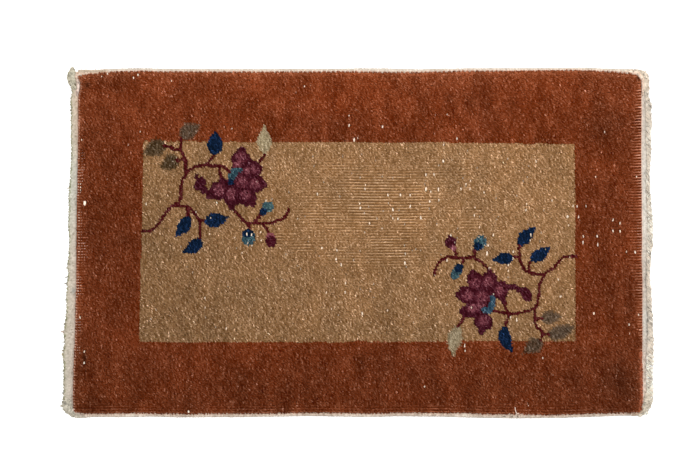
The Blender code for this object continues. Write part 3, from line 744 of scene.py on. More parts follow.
def tone_and_painted_light(px, py, in_field):
    """Slow changes of shade over the mat, as a factor on the dye. Its smooth slopes are painted light, brightest
    towards the top right: the border is paler towards the top and darker towards the bottom and the ends, and the field
    is paler towards the right and the top and darker towards the bottom. The border's stains and the field's two darker
    bands are laid over them.
    """
    field = (0.945 + 0.045 * smoothstep(170, 330, px) - 0.030 * smoothstep(225, 320, py)
             - 0.01 * smoothstep(235, 320, py) * smoothstep(300, 160, px)
             + 0.015 * smoothstep(420, 520, px) + 0.015 * smoothstep(180, 150, py)
             - 0.036 * np.exp(-((py - 251.0) / 15.0) ** 2) - 0.034 * np.exp(-((py - 334.0) / 13.0) ** 2))
    border = (0.985 + 0.065 * smoothstep(150, 70, py) - 0.09 * smoothstep(330, 400, py)
              - 0.08 * smoothstep(160, 90, px) - 0.05 * smoothstep(560, 620, px))
    for cx, cy, rx, ry, share in STAINS:
        border = border + share * np.exp(-((px - cx) / rx) ** 2 - ((py - cy) / ry) ** 2)
    return np.where(in_field, field, border)


def painted_edge_lighting(px, py, u, v):
    """Paler wool along the four edges, a painted highlight where the edge tufts catch the light, with a painted shadow
    line along a groove a little in from the bottom edge; 0 to 255 to add.
    """
    top, low = (1 - v) * 343.0, v * 343.0
    left, right = u * 566.0, (1 - u) * 566.0
    out = 20.0 * np.exp(-top / 1.2) + 29.0 * np.exp(-top / 5.0)
    out += 26.0 * np.exp(-low / 2.2) - 4.0 * np.exp(-((low - 6.5) / 2.2) ** 2)
    lower = smoothstep(335.0, 352.0, py)
    out += 13.0 * np.exp(-left / 1.4) + (9.0 + 8.0 * lower) * np.exp(-left / 8.0)
    out += 22.0 * np.exp(-right / (4.0 - 2.0 * lower))
    return out


# ------------------------------------------------------------------ the pile
AMOUNT = {BORDER: 12.6, FIELD: 18.6, PLUM: 12.0, NAVY: 12.0, TEAL: 16.0, SOFT: 16.0, MAUVE: 13.0}


def tufts():
    """Both cut ends of every knot: a chisel-shaped tuft, its ridge along the fibres."""
    rng = np.random.default_rng(101)
    i, j, leg = np.meshgrid(np.arange(ROWS), np.arange(RIBS), np.arange(2), indexing="ij")
    i, j, leg = i.ravel(), j.ravel(), leg.ravel()
    n = len(i)
    u = 0.0013 + 0.9974 * (i + 0.5) / ROWS
    v = (j + 0.5 + (leg * 2 - 1) * 0.25) / RIBS
    x, y = patch(u, v)
    kx, ky = patch(u, (j + 0.5) / RIBS)
    bare = bareness(*view_px(kx, ky), j)
    loose = 1.0 - 0.75 * bare
    y = ky + (y - ky) * (1.0 - 0.30 * bare)
    x = x + rng.normal(0, 0.46, n) * loose
    y = y + rng.normal(0, 0.44, n) * loose
    px, py = view_px(0.4 * kx + 0.6 * x, 0.4 * ky + 0.6 * y)
    knot_chance = rng.random((ROWS, RIBS))[i, j]
    own = rng.random(n)
    colour, kind, in_field = design(px, py, knot_chance, own)
    plain = kind <= FIELD

    from_ends = np.minimum(u, 1 - u) * 984.0
    from_sides = np.minimum(v, 1 - v) * 594.0
    rise = shoulder(from_ends + 1.2) * shoulder(from_sides + 1.2)
    tips = pile_height(x, y)
    uneven = 0.34 * clouds(x, y, 9.0, 500, 2) + rng.normal(0, 0.28, n) * loose
    z = EDGE_HEIGHT + (tips - EDGE_HEIGHT) * rise + uneven * (0.5 + 0.5 * rise) - 0.7 * bare

    # fibres lie down to the right; in worn places they lie along the rib
    angle = np.radians(-45.0 + rng.normal(0, 24.0, n) + 22.0 * clouds(x, y, 20.0, 520, 2))
    along = np.radians(rng.normal(0, 13.0, n))
    angle = np.where(rng.random(n) < bare * 1.2, along, angle)
    lean = (0.95 + 0.4 * rng.random(n)) * (1.0 - 0.8 * bare)
    # the outermost tufts hang out over the edges, in clumps
    out = 1.7 * (1 - shoulder(from_sides + 1.0)) * np.where(v > 0.5, 1.05, -1.0)
    row_px = view_px(kx, ky)[0]
    turn = np.cos(2 * np.pi * turn_phase(row_px)) * turn_depth(row_px)
    clump = np.where(v > 0.5, turn, np.sin(x / 6.4 * 2 * np.pi + 2.2 * np.sin(x / 41.0))) \
        + np.where(v > 0.5, 0.35, 0.7) * value_noise(x, x * 0, 3.4, 1, 541)
    out_end = 0.5 * (1 - shoulder(from_ends + 0.6)) * np.where(u > 0.5, 1.0, -1.0)
    ly = lean * np.sin(angle) * rise + out * np.where(v > 0.5, 0.9 + 1.0 * clump, 0.9 + 0.55 * clump)
    lx = lean * np.cos(angle) * rise + out_end * (0.8 + 0.5 * (leg * 2 - 1))

    long = 1.80 + 0.45 * rng.random(n)
    wide = (1.18 + 0.24 * rng.random(n)) * (1.0 - 0.10 * bare)
    ridge = long * (0.42 + 0.24 * rng.random(n)) * (1 + 0.35 * bare)
    depth = TUFT_DEPTH * (1.0 - 0.30 * bare) * (0.6 + 0.4 * rise)
    c, s = np.cos(angle), np.sin(angle)

    def corner(a, b, dx, dy, dz):
        return np.stack([x + a * c - b * s + dx, y + a * s + b * c + dy, dz], -1)

    low = np.maximum(z - depth, 0.8)
    low = np.where(from_sides < 3.0, np.minimum(low, 4.0), low)
    tilt = rng.normal(0, 0.16, n) * ridge * loose
    nil = np.zeros(n)
    verts = np.stack([
        corner(-long, -wide, 0, 0, low), corner(long, -wide, 0, 0, low),
        corner(long, wide, 0, 0, low), corner(-long, wide, 0, 0, low),
        corner(-ridge, nil, lx, ly, z + tilt), corner(ridge, nil, lx, ly, z - tilt),
    ], 1)

    # shade: the slow tone with its painted light from the top right, slow clouds, then grain shared by a knot, a leg,
    # and a lock of fibres
    qx, qy = view_px(x, y)
    upper = smoothstep(160, 120, qy)
    patchy = clouds(qx, qy, 9.0, 410, 2, 1.9)
    factor = tone_and_painted_light(qx, qy, in_field) + np.where(in_field, 0.060, 0.090) * clouds(qx, qy, 30.0, 400, 3, 1.4) \
        + np.where(in_field, 0.055, 0.070 + 0.02 * upper) * patchy
    factor = np.where(plain, factor, 0.35 + 0.65 * factor)
    colour = colour * factor[:, None] + (np.where(in_field, 2.5, 6.0 + 3.0 * upper) * patchy * plain)[:, None]
    hue = clouds(qx, qy, 40.0, 450, 2)
    colour[:, 0] += 1.8 * hue
    colour[:, 2] -= 1.2 * hue
    knot_grain = ((rng.gamma(3.0, 1.0, (ROWS, RIBS)) - 3.0) / 1.732)[i, j]
    leg_grain = ((rng.gamma(3.0, 1.0, n) - 3.0) / 1.732).reshape(ROWS, RIBS, 2)
    leg_grain = (leg_grain - 0.24 * (np.roll(leg_grain, 1, 0) + np.roll(leg_grain, -1, 0))).ravel()
    lock = value_noise((x - y) / 1.414, (x + y) / 1.414, 4.4, 1.8, 530)
    upright = value_noise(x, y, 2.0, 6.0, 531)
    grain = np.where(in_field, 0.50, 0.62) * knot_grain + np.where(in_field, 0.88, 0.80) * leg_grain \
        + 0.45 * lock + 0.20 * upright
    dash = value_noise(x, j * 1.0, 8.0, 1.0, 532)
    worn_grain = 0.34 * knot_grain + 0.36 * leg_grain + 0.5 * dash
    grain = grain * (1 - bare) + worn_grain * bare
    amount = np.array([AMOUNT[k] for k in range(7)])[kind]
    tint = np.where((kind == NAVY)[:, None], np.array([0.55, 0.75, 1.25]), np.ones(3))
    colour = colour + grain[:, None] * amount[:, None] * tint
    # painted light on the worn ribs: of each knot's two legs one is lightened and the other darkened, the lit and the
    # shaded side of the rib, as far as the ribs show; stronger in the upper rows near the right end
    each = rng.uniform(0.65, 1.3, RIBS)[j]
    spark = np.where(in_field, 1.0, rng.uniform(0.65, 1.35, n))
    rib = (leg * 2 - 1) * np.clip(0.85 + 0.6 * dash, 0.1, 1.6) * bare * np.where(in_field, 1.0, each) * spark
    strong = 0.36 * smoothstep(200, 168, qy) + 0.32 * smoothstep(140, 122, qy) - 0.45 * smoothstep(106, 96, qy)
    rib = rib * (1 + strong * smoothstep(620, 634, qx))
    colour = colour + (rib * np.where(plain, np.where(in_field, 25.0, 25.0), 10.0)
                       + np.where(in_field, -3.0, 3.0 + 7.0 * smoothstep(600, 625, qx)) * bare)[:, None]
    # painted highlight along the four edges, and a painted shadow line near the bottom
    colour = colour + (painted_edge_lighting(qx, qy, u, v) * plain)[:, None] * np.array([1.0, 0.98, 0.92])
    # cotton-coloured knot backs along both ends
    side_of = leg * 2 - 1
    sharp = 0.10 + 0.18 * smoothstep(140, 160, qy)
    end = np.where(i == 0, np.interp(qy, (80, 150, 165, 205, 262, 285, 340, 352, 410),
                                     (0.27, 0.27, 0.22, 0.12, 0.12, 0.24, 0.26, 0.20, 0.20)) + sharp * side_of, 0.0)
    inner = smoothstep(198, 206, qy) * smoothstep(268, 262, qy)
    end = end * (1 - 0.9 * inner) + np.where(i == 1, inner * (0.08 + 0.22 * side_of), 0.0)
    far = ROWS - 1 - i
    lower = (qy + 7.0 * knot_chance > 354.0) & (u > 0.5)
    end = end + np.where(far == 0, np.where(lower, 0.66, 0.03 + 0.14 * side_of), 0.0)
    end = end + np.where(far == 1, np.where(lower, 0.50, 0.05 * side_of), 0.0)
    end = end + np.where((far > 1) & (far < 6) & lower, 0.32 - 0.06 * far, 0.0)
    end = np.clip(end * np.where(lower, 0.45 + 1.1 * rng.random(n), 0.7 + 0.6 * rng.random(n)), 0, 0.85)[:, None]
    pinkish = np.array([222.0, 186.0, 168.0]) * np.ones((n, 1))
    pinkish[lower] = (184.0, 108.0, 78.0)
    colour = colour * (1 - end) + pinkish * end
    # a few tips are bleached
    pale_tip = (rng.random(n) < 0.006) & plain
    colour[pale_tip] += rng.uniform(20, 50, (pale_tip.sum(), 1))
    # darker spots beside two bare knots near the left end and at one place near the top-left corner, and painted shadow
    # at the top-right corner
    dark_spots_and_painted_shade = 0.34 * np.exp(-((qx - 84.2) / 2.0) ** 2 - ((qy - 357.6) / 6.0) ** 2)
    dark_spots_and_painted_shade += 0.30 * np.exp(-((qx - 87.0) / 3.0) ** 2 - ((qy - 85.0) / 3.0) ** 2)
    dark_spots_and_painted_shade += 0.36 * np.exp(-((qx - 638.6) / 1.8) ** 2 - ((qy - 78.0) / 2.2) ** 2)
    # painted shadow of the winding's turns: dark teeth of wool between them, along the top
    notch = smoothstep(3.4, 1.4, from_sides) * (v > 0.5)
    dark_spots_and_painted_shade += notch * (0.04 + 0.20 * turn_depth(row_px) * smoothstep(-0.3, 0.5, clump))
    colour *= (1.0 - dark_spots_and_painted_shade)[:, None]
    colour = np.clip(colour, 3, 250)
    keep = np.ones(n, bool)
    for bx, by, w, h in BARE + FAINT:
        keep &= ~(np.hypot((qx - bx) / (w / 2 + 0.1), (qy - by) / (h / 2 + 0.15)) < 1.0)
    keep &= past_cut(qx, qy) < 0.0
    # the rim's outermost tufts are thinned, so the binding shows between the clumps
    keep &= ~((from_sides < 2.0) & (clump < -0.35) & (v < 0.5))
    apart = np.abs((turn_phase(row_px) % 1.0) - 0.5) * 4.75 * PIXEL
    keep &= ~((from_sides < 3.2) & (v > 0.5) & (apart < 1.3) & (knot_chance < 0.45 + 0.6 * turn_depth(row_px)))
    return dict(i=i, j=j, leg=leg, verts=verts, tip=linear(colour) * WOOL_GAIN, keep=keep)


def build_pile(material):
    t = tufts()
    rows = t["j"] * 2 + t["leg"]
    total = RIBS * 2
    made = []
    for band in range(BANDS):
        first, last = total * band // BANDS, total * (band + 1) // BANDS
        pick = np.flatnonzero((rows >= first) & (rows < last) & t["keep"])
        n = len(pick)
        verts = t["verts"][pick]
        k = np.arange(n)[:, None] * 6
        quads = np.concatenate([k + np.array([0, 1, 5, 4]), k + np.array([2, 3, 4, 5])])
        tris = np.concatenate([k + np.array([1, 2, 5]), k + np.array([3, 0, 4])])
        # painted shade: each tuft's four foot corners get 60 % of its tip colour, for the shadow down between the
        # tufts; it goes into the dye attribute
        shade = np.array([0.60, 0.60, 0.60, 0.60, 1.0, 1.0])
        dye = t["tip"][pick][:, None, :] * shade[None, :, None]
        # one small cell of the bake map for each tuft
        u0 = (t["i"][pick] + 0.5) / ROWS
        v0 = (rows[pick] - first + 0.5) / (last - first)
        du = np.array([-0.47, 0.47, 0.47, -0.47, -0.22, 0.22]) / ROWS
        dv = np.array([-0.47, -0.47, 0.47, 0.47, 0.0, 0.0]) / (last - first)
        uv = np.stack([u0[:, None] + du, v0[:, None] + dv], -1)
        ob = new_mesh(f"pile_band_{band + 1}", verts, [quads, tris], material,
                      {"dye": dye.reshape(-1, 3)}, uv.reshape(-1, 2))
        made.append(ob)
    return made


# ------------------------------------------------------------------ the cloth under the pile
def build_cloth(material):
    """The knotted foundation: one closed sheet, the design showing flat on its back."""
    nu, nv = 161, 92
    u, v = np.meshgrid(np.linspace(0, 1, nu), np.linspace(0, 1, nv), indexing="ij")
    x, y = patch(u, v)
    rise = shoulder(np.minimum(u, 1 - u) * 984.0) * shoulder(np.minimum(v, 1 - v) * 594.0)
    top = EDGE_HEIGHT - 1.4 + (pile_height(x, y) - 2.5 - EDGE_HEIGHT + 1.4) * rise
    px, py = view_px(x, y)
    for (ax, ay), (bx, by) in CUTS:  # draw the cloth in to the cut corners
        length = math.hypot(bx - ax, by - ay)
        gone = np.clip(((px - ax) * (by - ay) - (py - ay) * (bx - ax)) / length + 0.6, 0.0, None)
        gone = np.where(np.hypot(px - (ax + bx) / 2, py - (ay + by) / 2) < 12.0, gone, 0.0)
        x = x - gone * (by - ay) / length * PIXEL
        y = y - gone * (bx - ax) / length * PIXEL
    half = np.full(px.shape, 0.5)
    colour, kind, in_field = design(px, py, half, half)
    # the slow tone, with its painted light from the top right
    colour = colour * tone_and_painted_light(px, py, in_field)[..., None]
    # painted shade: the cloth's top, seen only down between the tufts, is darkened to 66 %
    upper = linear(colour * 0.66) * WOOL_GAIN
    back = linear(np.clip(colour * 0.94 + 8, 0, 255))
    verts = np.concatenate([np.stack([x, y, top], -1).reshape(-1, 3),
                            np.stack([x, y, np.full(x.shape, 0.02)], -1).reshape(-1, 3)])
    index = np.arange(nu * nv).reshape(nu, nv)
    a, b, c, d = index[:-1, :-1], index[1:, :-1], index[1:, 1:], index[:-1, 1:]
    quads = [np.stack([a, b, c, d], -1).reshape(-1, 4),
             np.stack([a, d, c, b], -1).reshape(-1, 4) + nu * nv]
    rim = np.concatenate([index[:-1, 0], index[-1, :-1], index[:0:-1, -1], index[0, :0:-1]])
    nxt = np.roll(rim, -1)
    quads.append(np.stack([rim + nu * nv, nxt + nu * nv, nxt, rim], -1))
    dye = np.concatenate([upper.reshape(-1, 3), back.reshape(-1, 3)])
    return new_mesh("rug_cloth", verts, [np.concatenate(quads)], material, {"dye": dye})


# ------------------------------------------------------------------ bare cotton knots
def blob(rings, sides):
    """Unit blob as (verts, quads/tris lists): rings of points from bottom to top."""
    verts = [(0, 0, -1)]
    for r in range(1, rings):
        a = math.pi * r / rings
        for s in range(sides):
            b = 2 * math.pi * s / sides
            verts.append((math.sin(a) * math.cos(b), math.sin(a) * math.sin(b), -math.cos(a)))
    verts.append((0, 0, 1))
    quads, tris = [], []
    for s in range(sides):
        n = (s + 1) % sides
        tris.append((0, 1 + n, 1 + s))
        for r in range(rings - 2):
            a, b = 1 + r * sides, 1 + (r + 1) * sides
            quads.append((a + s, a + n, b + n, b + s))
        last = 1 + (rings - 2) * sides
        tris.append((last + s, last + n, len(verts) - 1))
    return np.array(verts, float), np.array(quads), np.array(tris)


def blobs(name, places, colours, material, seed, rings=4, sides=7, rough=0.12, gain=COTTON_GAIN):
    """Many small blobs joined in one mesh. places rows: x, y, z, rx, ry, rz, turn; colours 0 to 255."""
    rng = np.random.default_rng(seed)
    unit, quads, tris = blob(rings, sides)
    p = np.array(places, float)
    n, m = len(p), len(unit)
    v = unit[None] * (1 + rng.uniform(-rough, rough, (n, m, 1)))
    c, s = np.cos(p[:, 6])[:, None], np.sin(p[:, 6])[:, None]
    lx, ly, lz = v[..., 0] * p[:, 3:4], v[..., 1] * p[:, 4:5], v[..., 2] * p[:, 5:6]
    verts = np.stack([p[:, 0:1] + lx * c - ly * s, p[:, 1:2] + lx * s + ly * c, p[:, 2:3] + lz], -1)
    k = (np.arange(n) * m)[:, None, None]
    tint = np.repeat(linear(colours) * gain, m, 0)
    tint *= 1 + rng.uniform(-0.08, 0.08, (n * m, 1))
    return new_mesh(name, verts, [(quads[None] + k).reshape(-1, 4), (tris[None] + k).reshape(-1, 3)],
                    material, {"tint": tint})


# light dots in columns near the left end: x, from y, to y in view pixels, size
LIGHT_COLUMNS = (
    (80.5, 169, 182, 0.80), (82.7, 168, 182, 0.75), (78.8, 181, 196, 0.75), (80.7, 181, 197, 0.95),
    (84.6, 150, 172, 0.40), (82.6, 150, 168, 0.42), (79.3, 211, 230, 0.92), (81.9, 211, 228, 0.45),
    (79.3, 230, 246, 0.75), (81.8, 230, 246, 0.40), (82.4, 243, 260, 0.62), (85.1, 241, 251, 0.80),
    (79.3, 250, 262, 0.92), (84.8, 252, 262, 0.60), (87.4, 240, 258, 0.45), (79.1, 274, 296, 0.85),
    (81.2, 276, 296, 0.60), (78.6, 318, 331, 0.60), (80.5, 318, 331, 0.65), (78.1, 345, 355, 0.70),
    (80.0, 347, 354, 0.60), (79.6, 197, 204, 0.45), (78.4, 262, 268, 0.50),
    (637.6, 222, 250, 0.50), (639.8, 228, 252, 0.55),
)


def build_bare_knots(material):
    rows, colours = [], []
    rng = np.random.default_rng(77)
    for number, (bx, by, w, h) in enumerate(BARE + FAINT):
        faint = number >= len(BARE)
        x, y = at_px(bx, by, 7.5)
        z = float(pile_height(x, y)) - 1.7
        edge = min(641.5 - bx, bx - 75.0) * PIXEL
        if edge < 8:
            z -= (8 - max(edge, 0)) * 0.25
        shade = rng.uniform(0.64, 0.82) if faint else rng.uniform(0.87, 1.04)
        warm = faint and not field_mask(np.array(bx), np.array(by))
        rows.append((x, y, z, w * PIXEL * 0.5 * 0.84, h * PIXEL * 0.5 * 1.12, 1.3, rng.normal(0, 0.14)))
        colours.append(np.array((232, 164, 132) if warm else (250, 230, 206)) * shade)
        if h > 2.7:  # two stitches show one over the other in the bigger holes
            rows.append((x + rng.uniform(-0.6, 0.6), y + rng.choice((-1, 1)) * h * 0.3, z + 0.2,
                         w * PIXEL * 0.32, h * PIXEL * 0.26, 1.25, rng.normal(0, 0.3)))
            colours.append((252, 238, 220))
    # columns of warps showing as dots, one on each rib, a little way in from the left end
    ribs = (np.arange(RIBS) + 0.75) / RIBS
    for bx, y0, y1, strong in LIGHT_COLUMNS:
        share = (bx - 76.0) / 566.0
        for x, y in zip(*patch(np.full(RIBS, share), ribs)):
            px, py = view_px(x, y)
            if not y0 <= py <= y1 or rng.random() < 0.12:
                continue
            size = strong * rng.uniform(0.70, 1.12)
            x = at_px(bx, py, 5.5)[0] + rng.normal(0, 0.15)
            level = EDGE_HEIGHT + (float(pile_height(x, y)) - EDGE_HEIGHT) * float(
                shoulder(min(bx - 75.5, 642.0 - bx) * PIXEL + 1.2)) - 0.35
            rows.append((x, y, level + 0.45, 1.00 * size, 0.84 * size, 0.9, 0.0))
            colours.append(np.array([240.0, 206.0, 186.0]) * rng.uniform(0.86, 1.04))
    return blobs("bare_knots", rows, np.minimum(colours, 255), material, 78, gain=1.0)


# ------------------------------------------------------------------ threads and swept solids
def threads(name, lines, material, sides=4):
    """Thin round threads joined in one mesh. lines: (points in mm (n, 3), radius or radii,
    colour 0 to 255)."""
    verts, quads, tints, base = [], [], [], 0
    caps = []
    for points, radius, colour in lines:
        p = np.asarray(points, float)
        r = np.broadcast_to(np.asarray(radius, float), (len(p),))
        d = np.gradient(p, axis=0)
        d /= np.maximum(np.linalg.norm(d, axis=1, keepdims=True), 1e-9)
        up = np.where(np.abs(d[:, 2:3]) > 0.9, np.array([[1.0, 0, 0]]), np.array([[0, 0, 1.0]]))
        a = np.cross(d, up)
        a /= np.linalg.norm(a, axis=1, keepdims=True)
        b = np.cross(d, a)
        t = np.linspace(0, 2 * np.pi, sides, endpoint=False)
        ring = (p[:, None] + r[:, None, None] * (np.cos(t)[None, :, None] * a[:, None]
                                                 - np.sin(t)[None, :, None] * b[:, None]))
        verts.append(ring.reshape(-1, 3))
        k = base + np.arange(len(p) - 1)[:, None] * sides
        s = np.arange(sides)[None]
        n = (s + 1) % sides
        quads.append(np.stack([k + s, k + n, k + sides + n, k + sides + s], -1).reshape(-1, 4))
        if sides == 4:
            caps.append([base + 3, base + 2, base + 1, base])
            e = base + (len(p) - 1) * sides
            caps.append([e, e + 1, e + 2, e + 3])
        tints.append(np.tile(linear(colour) * COTTON_GAIN, (len(p) * sides, 1)))
        base += len(p) * sides
    if caps:
        quads.append(np.array(caps))
    return new_mesh(name, np.concatenate(verts), [np.concatenate(quads)], material,
                    {"tint": np.concatenate(tints)})


def swept(name, solids, material):
    """Closed solids through rings of points, joined in one mesh. solids: (rings (n, m, 3) in
    millimetres, colours (n, m, 3) 0 to 255)."""
    verts, quads, tris, tints, base = [], [], [], [], 0
    for rings, colour in solids:
        n, m = rings.shape[:2]
        k = base + np.arange(n - 1)[:, None] * m
        s = np.arange(m)[None]
        nx = (s + 1) % m
        quads.append(np.stack([k + s, k + nx, k + m + nx, k + m + s], -1).reshape(-1, 4))
        verts += [rings.reshape(-1, 3), rings[0].mean(0)[None], rings[-1].mean(0)[None]]
        c0, c1 = base + n * m, base + n * m + 1
        s = np.arange(m)
        nx = (s + 1) % m
        last = base + (n - 1) * m
        tris += [np.stack([base + nx, base + s, np.full(m, c0)], -1),
                 np.stack([last + s, last + nx, np.full(m, c1)], -1)]
        tint = linear(colour) * COTTON_GAIN
        tints += [tint.reshape(-1, 3), tint[0].mean(0)[None], tint[-1].mean(0)[None]]
        base += n * m + 2
    return new_mesh(name, np.concatenate(verts), [np.concatenate(quads), np.concatenate(tris)], material,
                    {"tint": np.concatenate(tints)})


def grid_noise(rows, across, cell, seed, stretch=1.0):
    """Smooth noise on a grid of rows along a side and places across it, both in millimetres."""
    r, a = np.broadcast_arrays(rows[:, None], across)
    return value_noise(a, r, cell, cell * stretch, seed)


# ------------------------------------------------------------------ end webs
def build_left_web(material):
    """Plain cotton web: wefts packed over the warps, its outer edge rolled a little."""
    outer = side(LEFT_OUTER, True, 2.0)
    y = np.arange(outer[0][0] + 5.0, outer[0][-1] - 3.0, 0.62)
    py = view_px(0.0, y)[1]
    x_in = np.interp(y, *LEFT) + 1.8
    x_out = np.interp(y, *outer) + 0.35 + 0.46 * np.sin(2 * np.pi * y / 7.8 + 1.6 * value_noise(y, y * 0, 30, 1, 610)) \
        + 0.75 * value_noise(y, y * 0, 3.6, 1, 611)
    s = np.concatenate([np.linspace(0, 0.86, 18), [0.91, 0.955, 0.985, 1.0, 1.0]])
    x = x_in[:, None] + (x_out - x_in)[:, None] * s[None]
    drop = np.sqrt(np.clip(1 - (np.clip(s - 0.86, 0, 1) / 0.14) ** 2, 0, 1))
    z = np.repeat(((2.55 + 0.75 * smoothstep(0.55, 0.9, s)) * drop)[None], len(y), 0)
    inside = (s < 0.97)[None]
    warp = np.cos(2 * np.pi * y / 2.465)[:, None] * np.cos(2 * np.pi * x / 3.0)
    z = z + inside * (0.16 * warp + 0.16 * grid_noise(y, x, 1.5, 612) + 0.12 * grid_noise(y, x, 5.0, 613))
    z = np.maximum(z, 0.05)
    z[:, -1] = 0.05

    clean = np.exp(-((py - 185.0) / 55.0) ** 2)[:, None]
    main = np.array([202.0, 191.0, 174.0]) + clean * np.array([-3.0, 6.0, 9.0]) \
        - smoothstep(335, 360, py)[:, None] * np.array([3.0, 2.0, 1.0]) \
        - smoothstep(165, 135, py)[:, None] * np.array([2.0, 4.0, 6.0])
    colour = np.repeat(main[:, None], len(s), 1)
    near_pile = np.exp(-(x_in[:, None] - 1.8 - x) / 4.2)[..., None]
    upper = smoothstep(175, 140, py)[:, None, None]
    colour = colour * (1 + near_pile * (np.array([0.06, -0.005, -0.01]) + upper * np.array([0.10, 0.05, 0.02])))
    rim = np.exp(-(x - x_out[:, None]) / 2.4)[..., None]
    colour = colour * (1 - rim * np.array([0.05, 0.035, 0.08]))
    speck = 17.0 * grid_noise(y, x, 2.1, 614) + 9.0 * grid_noise(y, x, 4.4, 615) + 3.0 * warp \
        + 3.5 * np.cos(2 * np.pi * y / 4.93)[:, None]
    dots = np.clip(grid_noise(y, x, 2.0, 616) - 0.50, 0, 1) * 110.0
    colour = colour + (speck + 3.0 - dots)[..., None]
    # darker, yellower bits along the rim, where the warps were knotted off
    bits = smoothstep(0.05, 0.45, value_noise(y, y * 0, 3.0, 1, 617))[:, None] * smoothstep(0.74, 0.88, s)[None]
    colour = colour * (1 - bits[..., None] * np.array([0.18, 0.16, 0.24]))
    bits = smoothstep(0.45, 0.65, value_noise(y, y * 0, 3.6, 1, 618))[:, None] * smoothstep(0.80, 0.90, s)[None]
    colour = colour * (1 - bits[..., None] * np.array([0.32, 0.30, 0.42]))
    stain = np.exp(-((py - 291.0) / 3.0) ** 2)[:, None] * np.exp(-((x - at_px(73.4, 291, 3.0)[0]) / 3.2) ** 2)
    colour = colour * (1 - stain[..., None] * np.array([0.16, 0.12, 0.09]))
    rings = np.stack([x, np.repeat(y[:, None], len(s), 1), z], -1)
    floor = rings[:, :1] * np.array([1, 1, 0]) + np.array([0, 0, 0.05])
    rings = np.concatenate([floor, rings], 1)
    colour = np.concatenate([colour[:, :1], colour], 1)
    return swept("left_web_cloth", [(rings[:, ::-1], colour[:, ::-1])], material)


GROOVE = ((643.6, 72.0), (644.4, 80.0), (644.6, 92.0), (645.2, 104.0), (645.4, 120.0), (645.6, 140.0),
          (646.2, 152.0), (646.4, 165.0), (645.8, 182.0), (646.6, 200.0), (647.4, 222.0), (646.6, 245.0),
          (646.2, 262.0), (645.9, 282.0), (646.6, 300.0), (647.4, 318.0), (647.2, 340.0), (646.2, 356.0),
          (645.4, 372.0), (646.6, 390.0), (646.0, 404.0), (643.4, 412.0))


def right_lines(y):
    """Pile edge, groove and outer edge of the right web at heights y, in millimetres."""
    groove = np.interp(y, *side(GROOVE, True, 2.5))
    outer = np.interp(y, *side(RIGHT_OUTER, True, 2.3))
    return np.interp(y, *RIGHT), groove, outer


def right_shade(py):
    """How deep the painted shade in the groove is at each height of the view, 0 to 1."""
    parts = ((84, 8, 0.6), (107, 9, 0.6), (124, 7, 0.35), (150, 8, 0.4), (170, 8, 0.6), (190, 10, 0.3),
             (228, 8, 0.15), (248, 5, 0.35), (262, 6, 1.0), (276, 7, 1.0), (290, 7, 0.8), (318, 12, 1.1),
             (334, 8, 0.9), (352, 5, 0.6), (363, 4, 0.8), (375, 5, 0.7), (397, 5, 0.8), (388, 5, 0.4))
    return np.clip(sum(w * np.exp(-((py - c) / r) ** 2) for c, r, w in parts), 0, 1.15)


def build_right_web(material):
    lo, hi = RIGHT[0][0] + 1.0, RIGHT[0][-1] - 1.0
    y = np.arange(lo, hi, 0.62)
    py = view_px(0.0, y)[1]
    x_in, groove, outer = right_lines(y)
    x_in = x_in - 1.8
    x_out = groove + 1.6
    s = np.linspace(0, 1, 14)
    x = x_in[:, None] + (x_out - x_in)[:, None] * s[None]
    z = np.repeat((2.75 - 0.25 * np.sin(s * np.pi) - 0.75 * smoothstep(0.7, 1.0, s))[None], len(y), 0)
    warp = np.cos(2 * np.pi * y / 2.465)[:, None] * np.cos(2 * np.pi * x / 3.0)
    z = z + 0.14 * warp + 0.15 * grid_noise(y, x, 1.5, 622) + 0.12 * grid_noise(y, x, 6.0, 623)
    clean = (np.exp(-((py - 195.0) / 65.0) ** 2) + 0.9 * np.exp(-((py - 322.0) / 18.0) ** 2))[:, None]
    main = np.array([214.0, 200.0, 185.0]) + clean * np.array([6.0, 12.0, 15.0]) \
        + smoothstep(345, 365, py)[:, None] * np.array([18.0, 12.0, 10.0])
    colour = np.repeat(main[:, None], len(s), 1)
    # painted shade in the groove between the web and the roll, broken up by diagonal hatching
    shade = right_shade(py)[:, None] * np.exp(-((x - groove[:, None]) / 2.3) ** 2)
    hatch = np.clip(0.75 + 1.1 * value_noise((x + y[:, None]) / 1.4, (x - y[:, None]) / 1.4, 2.0, 6.0, 624), 0, 2)
    rough = 1.0 + 0.7 * smoothstep(345, 360, py)[:, None]
    fine = 17.0 * grid_noise(y, x, 2.3, 625) + 10.0 * value_noise((x + y[:, None]) / 1.4, (x - y[:, None]) / 1.4,
                                                                 2.2, 6.0, 626) + 2.5 * warp
    fine = fine * rough - 110.0 * rough * np.clip(grid_noise(y, x, 2.4, 627, 1.4) - 0.48, 0, 1) \
        * smoothstep(0.35, 0.7, s)[None]
    # the innermost strip is pinkish, where wool fibres have worked into it
    near = np.exp(-((x - x_in[:, None] - 2.2) / 1.3) ** 2)
    colour = colour + near[..., None] * (np.array([12.0, -7.0, -12.0])
                                         + smoothstep(270, 240, py)[:, None, None] * np.array([16.0, 12.0, 9.0]))
    deep = (0.22 + 0.06 * smoothstep(345, 360, py))[:, None]
    colour = colour * (1 - (deep * shade * hatch)[..., None] * np.array([1.0, 0.98, 0.95])) + fine[..., None]
    top = np.stack([x, np.repeat(y[:, None], len(s), 1), z], -1)
    low = top[:, ::13] * np.array([1, 1, 0]) + np.array([0, 0, 0.05])
    rings = np.concatenate([low[:, :1], top, low[:, 1:]], 1)
    colour = np.concatenate([colour[:, :1], colour, colour[:, -1:]], 1)
    return swept("right_web_cloth", [(rings, colour)], material)


def roll_section(y):
    """Centre x and half width of the right roll at heights y, in millimetres."""
    _, groove, outer = right_lines(y)
    outer = outer - 0.35 + 0.85 * value_noise(y, y * 0, 3.6, 1, 630) + 0.45 * value_noise(y, y * 0, 9.0, 1, 631)
    return (groove + outer) / 2, np.maximum((outer - groove) / 2, 1.2)


